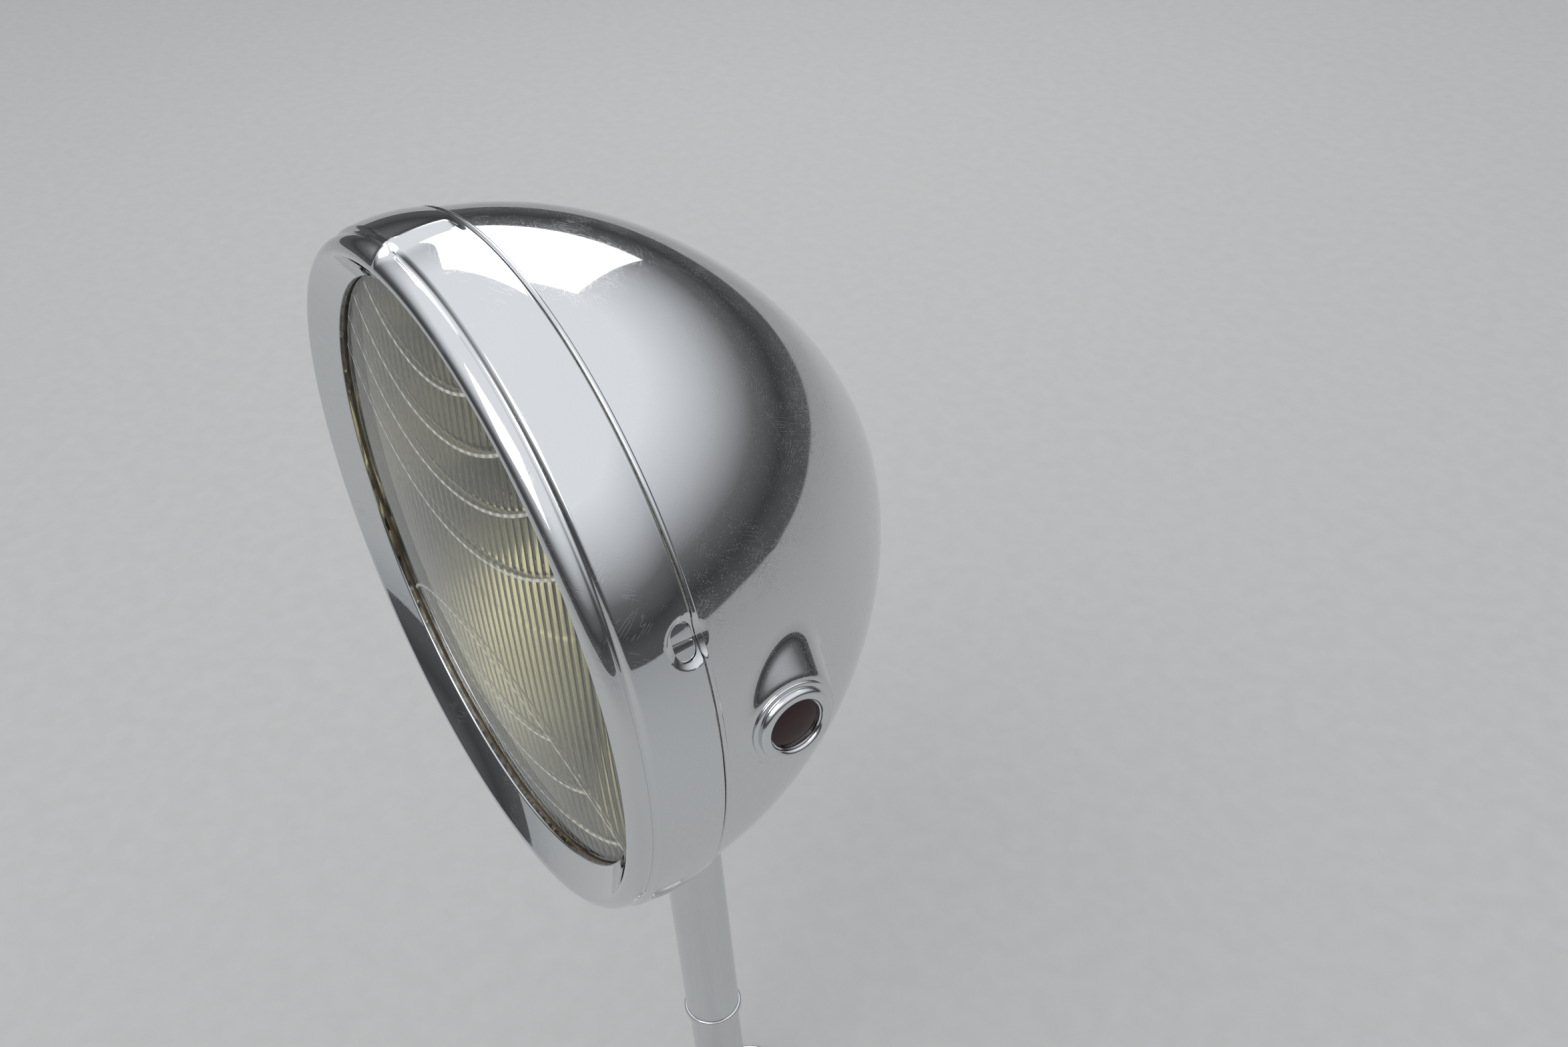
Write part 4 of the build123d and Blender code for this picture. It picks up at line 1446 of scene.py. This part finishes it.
    def pedestal(self) -> bpy.types.Object:
        """Model the oval pedestal, flared out to the bowl, with its rolled lower edge.

        Returns:
            The pedestal.
        """
        roll = Section().line((0.0, self.roll_height)).through((1.1, 4.9), (2.0, 3.6), 4)
        roll.through((2.4, 2.0), (1.2, 0.0), 6).line((-2.2, 0.0), (-2.2, 9.0))
        flare_end = self.flare_steps + 1
        wall_end = flare_end + self.wall_steps
        total = wall_end + len(roll.points)
        section = Section().line((float(total), 0.0))
        for index in range(1, total):
            section.line((float(total - index), 30.0))
        section.line((0.0, 0.0))
        spindle = Spindle((0.0, self.skirt_centre, 0.0), (0, 0, 1), (1, 0, 0))
        piece = spindle.turn("pedestal_skirt", section, ((FULL_TURN, 120),), 50.0)

        def place(point: Vector) -> Vector:
            """Move a point of the turned blank to its place on the pedestal."""
            index = total - round(point.z / MM)
            across, ahead = point.x / MM, point.y / MM - self.skirt_centre
            reach = math.hypot(across, ahead)
            if reach < 1.0:
                height = self.skirt_crown if index == 0 else self.skirt_ceiling
                return Vector((0, self.skirt_centre, height)) * MM
            out = Vector((across / reach, ahead / reach, 0))
            if index <= flare_end:
                return self.flare_point(out, (index - 1) / self.flare_steps)
            if index <= wall_end:
                top = self.flare_point(out, 1.0)
                low = self.wall_point(out, self.roll_height, 0.0)
                return top.lerp(low, (index - flare_end) / self.wall_steps)
            return self.wall_point(out, *reversed(roll.points[index - wall_end]))

        Bench.press(piece, place)
        Bench.pick(piece)
        bpy.ops.object.mode_set(mode="EDIT")
        Bench.close(piece, 50.0)
        return self.finish(piece, self.finishes.bowl, "chrome", ["pedestal"])

    def wall_point(self, out: Vector, height: float, proud: float) -> Vector:
        """Point of the oval wall, in metres, at a height over its foot and an offset outwards.

        Args:
            out: Direction from the pedestal's middle.
            height: Height over the wall's foot.
            proud: Offset outwards.

        Returns:
            The point.
        """
        x = (self.skirt_x + proud) * out.x
        y = self.skirt_centre + (self.skirt_y + proud) * out.y
        return Vector((x, y, self.skirt_bottom + height)) * MM

    def on_bowl(self, x: float, y: float) -> float:
        """Height of the bowl's underside, in millimetres."""
        radius = self.radius_at(-(y + SIZES.setback))
        return SIZES.height - math.sqrt(max(0.0, radius * radius - x * x))

    def flare_point(self, out: Vector, part: float) -> Vector:
        """Point of the flare between the bowl, at part nought, and the oval wall, at one.

        Args:
            out: Direction from the pedestal's middle.
            part: How far down the flare.

        Returns:
            The point, in metres.
        """
        wall = self.wall_point(out, 0, 0) / MM
        edge = self.wall_point(out, 0, self.flare) / MM
        first = Vector((edge.x, edge.y, self.on_bowl(edge.x, edge.y) + 0.05))
        corner = Vector((wall.x, wall.y, self.on_bowl(wall.x, wall.y)))
        last = corner - Vector((0, 0, self.flare_drop))
        ahead, rest = part, 1 - part
        return (first * rest * rest + corner * 2 * ahead * rest + last * ahead * ahead) * MM

    def tell_tale(self) -> None:
        """Turn the tell-tale's stepped bezel and its sunk red glass."""
        face = Spindle((SIZES.boss_face, SIZES.boss_y, SIZES.boss_z), (1, 0, 0), (0, 0, 1))
        bezel = Section().line((0.0, 10.6), (0.0, 17.1)).through((0.6, 17.4), (1.1, 16.9), 5)
        bezel.line((1.3, 15.3)).through((2.6, 15.5), (3.9, 13.3), 14)
        bezel.through((3.6, 11.8), (2.3, 11.1), 8).line((1.9, 10.6)).close()
        ring = face.turn("tell_tale_bezel", bezel, ((FULL_TURN, 128),), 35.0)
        self.finish(ring, self.finishes.trim, "chrome", ["jewel_bezel"])
        glass = Section().line((0.2, 0.0), (0.2, 10.5), (1.5, 10.5), (1.7, 9.8))
        glass.through((2.6, 6.0), (3.0, 0.0), 14)
        lens = face.turn("tell_tale_glass", glass, ((FULL_TURN, 96),), 35.0)
        self.finish(lens, self.finishes.ruby, "ruby_glass", ["jewel_glass"])

    def bar_cup(self) -> None:
        """Turn the cup for the bar between the lamps and its set screw."""
        face = Spindle((-SIZES.boss_face, SIZES.boss_y, SIZES.boss_z), (-1, 0, 0), (0, 0, 1))
        mouth, bore = self.cup_length, self.cup_bore
        cup = Section().line((-3.0, 0.0), (-3.0, 15.0), (0.0, 16.6))
        cup.through((0.9, 17.0), (1.6, 16.2), 4).line((mouth - 1.8, 16.0))
        cup.through((mouth - 0.4, 15.4), (mouth, 14.0), 6).line((mouth, 12.8))
        cup.through((mouth - 2.4, 10.0), (mouth - 3.1, bore), 8).line((1.5, bore), (1.5, 0.0))
        piece = face.turn("tie_bar_cup", cup, ((FULL_TURN, 128),), 35.0)
        self.finish(piece, self.finishes.trim, "chrome", ["tie_bar_socket"])
        middle = face.point(self.set_screw_at, 0.0) / MM
        upright = Spindle(tuple(middle), (0, 0, 1), (1, 0, 0))
        screw = Section().line((12.0, 0.0), (12.0, 2.4), (16.0, 2.4), (16.1, 4.4))
        screw.through((18.4, 3.4), (19.3, 0.0), 8)
        head = upright.turn("tie_bar_set_screw", screw, ((FULL_TURN, 48),), 40.0)
        self.finish(head, self.finishes.trim, "chrome", ["tie_bar_screw"])

    def inside(self) -> None:
        """Turn the reflector and the bulb, and dress the pieces behind them."""
        near, far = self.mirror_span
        radii = [near + (far - near) * step / 40 for step in range(41)]
        curve = [(self.mirror_apex + r * r / (4 * self.mirror_focus), r) for r in radii]
        back = [(place - self.mirror_wall, r) for place, r in curve[::-4]]
        section = Section().line(*curve, (-0.8, 143.6), (-2.0, 143.6), *back).close()
        mirror = LAMP.turn("reflector_mirror", section, ((FULL_TURN, 160),), 30.0)
        self.finish(mirror, self.finishes.silver, "silvering", ["reflector"])
        globe = Section().line((-112.0, 0.0), (-112.0, 6.4), (-103.0, 6.6))
        for angle in (math.radians(24 + 156 * step / 24) for step in range(25)):
            ahead = self.globe_centre - self.globe_radius * math.cos(angle)
            globe.line((ahead, self.globe_radius * math.sin(angle)))
        envelope = LAMP.turn("bulb_envelope", globe, ((FULL_TURN, 64),), 50.0)
        self.finish(envelope, self.finishes.globe, "bulb_glass", ["bulb_glass"])
        base = Section().line((-136.0, 0.0), (-136.0, 6.0), (-134.6, 7.5), (-113.0, 7.5))
        base.line((-112.0, 6.9), (-112.0, 0.0))
        cap = LAMP.turn("bulb_cap", base, ((FULL_TURN, 48),), 30.0)
        self.finish(cap, self.finishes.brass, "brass", ["bulb_base"])
        self.coat("bulb_socket", self.finishes.plate)
        self.coat("reflector_gasket", self.finishes.rubber)


@dataclass
class Stand(Assembly):
    """Post in two lengths on its foot."""

    ring: Pair = (92.7, 97.3)
    upper_radius: float = 15.0
    upper_end: float = 290.0
    lower_radius: float = 14.0
    lower_start: float = 3.0
    screw_spacing: float = 54.0
    slot: tuple[float, float, float] = (0.016, 0.0013, 0.0026)
    slot_height: float = 8.4

    def build(self) -> None:
        """Build the post, its ring and collar, and the foot with its screws."""
        low, high = self.ring
        self.tube("post_tube_upper", (high, self.upper_end), self.upper_radius, "post_upper")
        self.tube("post_tube_lower", (self.lower_start, low), self.lower_radius, "post_lower")
        band = Section().line((low, 0.0), (low, 14.8))
        band.through((low + 0.4, 15.8), (low + 1.4, 16.2), 5)
        band.line((high - 1.4, 16.2)).through((high - 0.4, 15.8), (high, 14.8), 5).line((high, 0.0))
        self.turned("post_band", band, "post_ring")
        collar = Section().line((265.0, 15.1), (265.0, 17.9), (265.8, 18.6))
        collar.line((271.0, 18.6), (271.0, 15.1)).close()
        piece = POST.turn("pedestal_collar", collar)
        self.finish(piece, self.finishes.plate, "plated_steel", ["post_collar"])
        self.carry("mount_nut", "pedestal_nut", self.finishes.plate, "plated_steel", 0.4)
        self.carry("foot", "foot_flange", self.finishes.post, "chrome", 0.4, 40.0)
        self.screw("foot_screw_rear", self.screw_spacing / 2)
        self.screw("foot_screw_front", -self.screw_spacing / 2)

    def tube(self, name: str, ends: Pair, radius: float, node: str) -> None:
        """Turn a plain length of the post.

        Args:
            name: The piece's name.
            ends: Heights of its lower and upper end.
            radius: Its radius.
            node: The CAD node that it stands for.
        """
        low, high = ends
        section = Section().line((low, 0.0), (low, radius), (high, radius), (high, 0.0))
        self.turned(name, section, node)

    def turned(self, name: str, section: Section, node: str) -> None:
        """Turn a chromed piece of the post.

        Args:
            name: The piece's name.
            section: Its half section.
            node: The CAD node that it stands for.
        """
        piece = POST.turn(name, section, ((FULL_TURN, 128),))
        self.finish(piece, self.finishes.post, "chrome", [node])

    def screw(self, name: str, y: float) -> None:
        """Turn a countersunk screw and cut its slot.

        Args:
            name: The piece's name.
            y: Its place along the foot.
        """
        spindle = Spindle((0.0, y, 0.0), (0, 0, 1), (1, 0, 0))
        section = Section().line((0.6, 0.0), (0.6, 3.2), (3.9, 3.3), (7.5, 6.9), (7.9, 7.0))
        section.through((8.5, 4.0), (8.7, 0.0), 8)
        head = spindle.turn(name, section, ((FULL_TURN, 64),), 30.0)
        Bench.clear()
        place = spindle.point(self.slot_height, 0.0)
        bpy.ops.mesh.primitive_cube_add(size=1, location=place, scale=self.slot)
        Bench.cut(head, bpy.context.active_object)
        Bench.modify(head, "BEVEL", width=0.15 * MM, segments=2, limit_method="ANGLE")
        Bench.shade(head, 30.0)
        self.finish(head, self.finishes.plate, "plated_steel")


@dataclass
class Studio:
    """Floor, light and camera.

    A stop of the room's light has its height, from nought below to one overhead, and its
    brightness.
    """

    lens: float = 35.42
    sensor: float = 36.0
    place: tuple[float, float, float] = (0.4925, -0.2305, 0.834)
    right: tuple[float, float, float] = (0.5573, 0.8283, -0.0587)
    up: tuple[float, float, float] = (-0.4721, 0.3739, 0.7983)
    back: tuple[float, float, float] = (0.6829, -0.4174, 0.5997)
    aim: tuple[float, float, float] = (0.0, 0.0, 0.4)
    floor_size: float = 14.0
    floor_low: Colour = (0.49, 0.49, 0.48)
    floor_high: Colour = (0.51, 0.51, 0.50)
    room_tint: Colour = (0.96, 0.985, 1.02)
    room_light: tuple[Pair, ...] = (
        (0.0, 0.10), (0.10, 0.06), (0.26, 0.16), (0.48, 0.60), (0.72, 0.98), (1.0, 1.0),
    )

    def build(self) -> None:
        """Set the stage."""
        self.floor()
        self.world()
        self.lamp("key_softbox", (0.5, -1.3, 2.2), 1.5, 12.0)
        self.lamp("back_softbox", (-1.5, 1.0, 1.7), 1.2, 8.0)
        self.camera()

    def floor(self) -> None:
        """Lay a plain pale floor."""
        Bench.clear()
        bpy.ops.mesh.primitive_plane_add(size=self.floor_size, location=(0, 0, 0))
        floor = bpy.context.active_object
        floor.name = "studio_floor"
        shader = Shader("pale_floor")
        mottle = shader.noise(shader.place(), 60.0, 4.0)
        material = shader.dress(
            Base_Color=shader.blend(mottle.ramp(0.3, 0.7), self.floor_low, self.floor_high),
            Roughness=0.7 + mottle * 0.1,
        )
        floor.data.materials.append(material)

    def world(self) -> None:
        """Light the room softly, bright overhead and darker level with the lamp."""
        world = bpy.data.worlds.new("studio_room")
        bpy.context.scene.world = world
        world.use_nodes = True
        tree = world.node_tree
        place = tree.nodes.new("ShaderNodeTexCoord")
        split = tree.nodes.new("ShaderNodeSeparateXYZ")
        ramp = tree.nodes.new("ShaderNodeValToRGB")
        stops = ramp.color_ramp.elements
        while len(stops) < len(self.room_light):
            stops.new(0.5)
        for stop, (height, light) in zip(stops, self.room_light):
            stop.position = height
            stop.color = (*(light * part for part in self.room_tint), 1)
        tree.links.new(place.outputs["Generated"], split.inputs[0])
        tree.links.new(split.outputs["Z"], ramp.inputs[0])
        tree.links.new(ramp.outputs[0], tree.nodes["Background"].inputs["Color"])
        tree.nodes["Background"].inputs["Strength"].default_value = 1.0

    def lamp(self, name: str, place: Sequence[float], size: float, power: float) -> None:
        """Hang a square softbox that faces the lamp.

        Args:
            name: Its name.
            place: Where it hangs, in metres.
            size: Length of its side in metres.
            power: Its power in watts.
        """
        data = bpy.data.lights.new(name, "AREA")
        data.shape = "SQUARE"
        data.size = size
        data.energy = power
        piece = bpy.data.objects.new(name, data)
        bpy.context.scene.collection.objects.link(piece)
        piece.location = place
        course = Vector(self.aim) - Vector(place)
        piece.rotation_euler = course.to_track_quat("-Z", "Y").to_euler()

    def camera(self) -> None:
        """Place the camera where the photograph was taken from."""
        data = bpy.data.cameras.new("photo_camera")
        data.sensor_fit = "HORIZONTAL"
        data.sensor_width = self.sensor
        data.lens = self.lens
        data.clip_start = 0.01
        piece = bpy.data.objects.new("photo_camera", data)
        bpy.context.scene.collection.objects.link(piece)
        matrix = Matrix((self.right, self.up, self.back)).transposed().to_4x4()
        matrix.translation = Vector(self.place)
        piece.matrix_world = matrix
        bpy.context.scene.camera = piece


def main() -> None:
    """Build the headlamp and its studio."""
    logging.basicConfig(level=logging.INFO, format="%(name)s: %(message)s")
    finishes = Finishes()
    Door(finishes).build()
    Bowl(finishes).build()
    Stand(finishes).build()
    Studio().build()
    bpy.context.scene.view_settings.view_transform = "Standard"


if __name__ == "__main__":
    main()
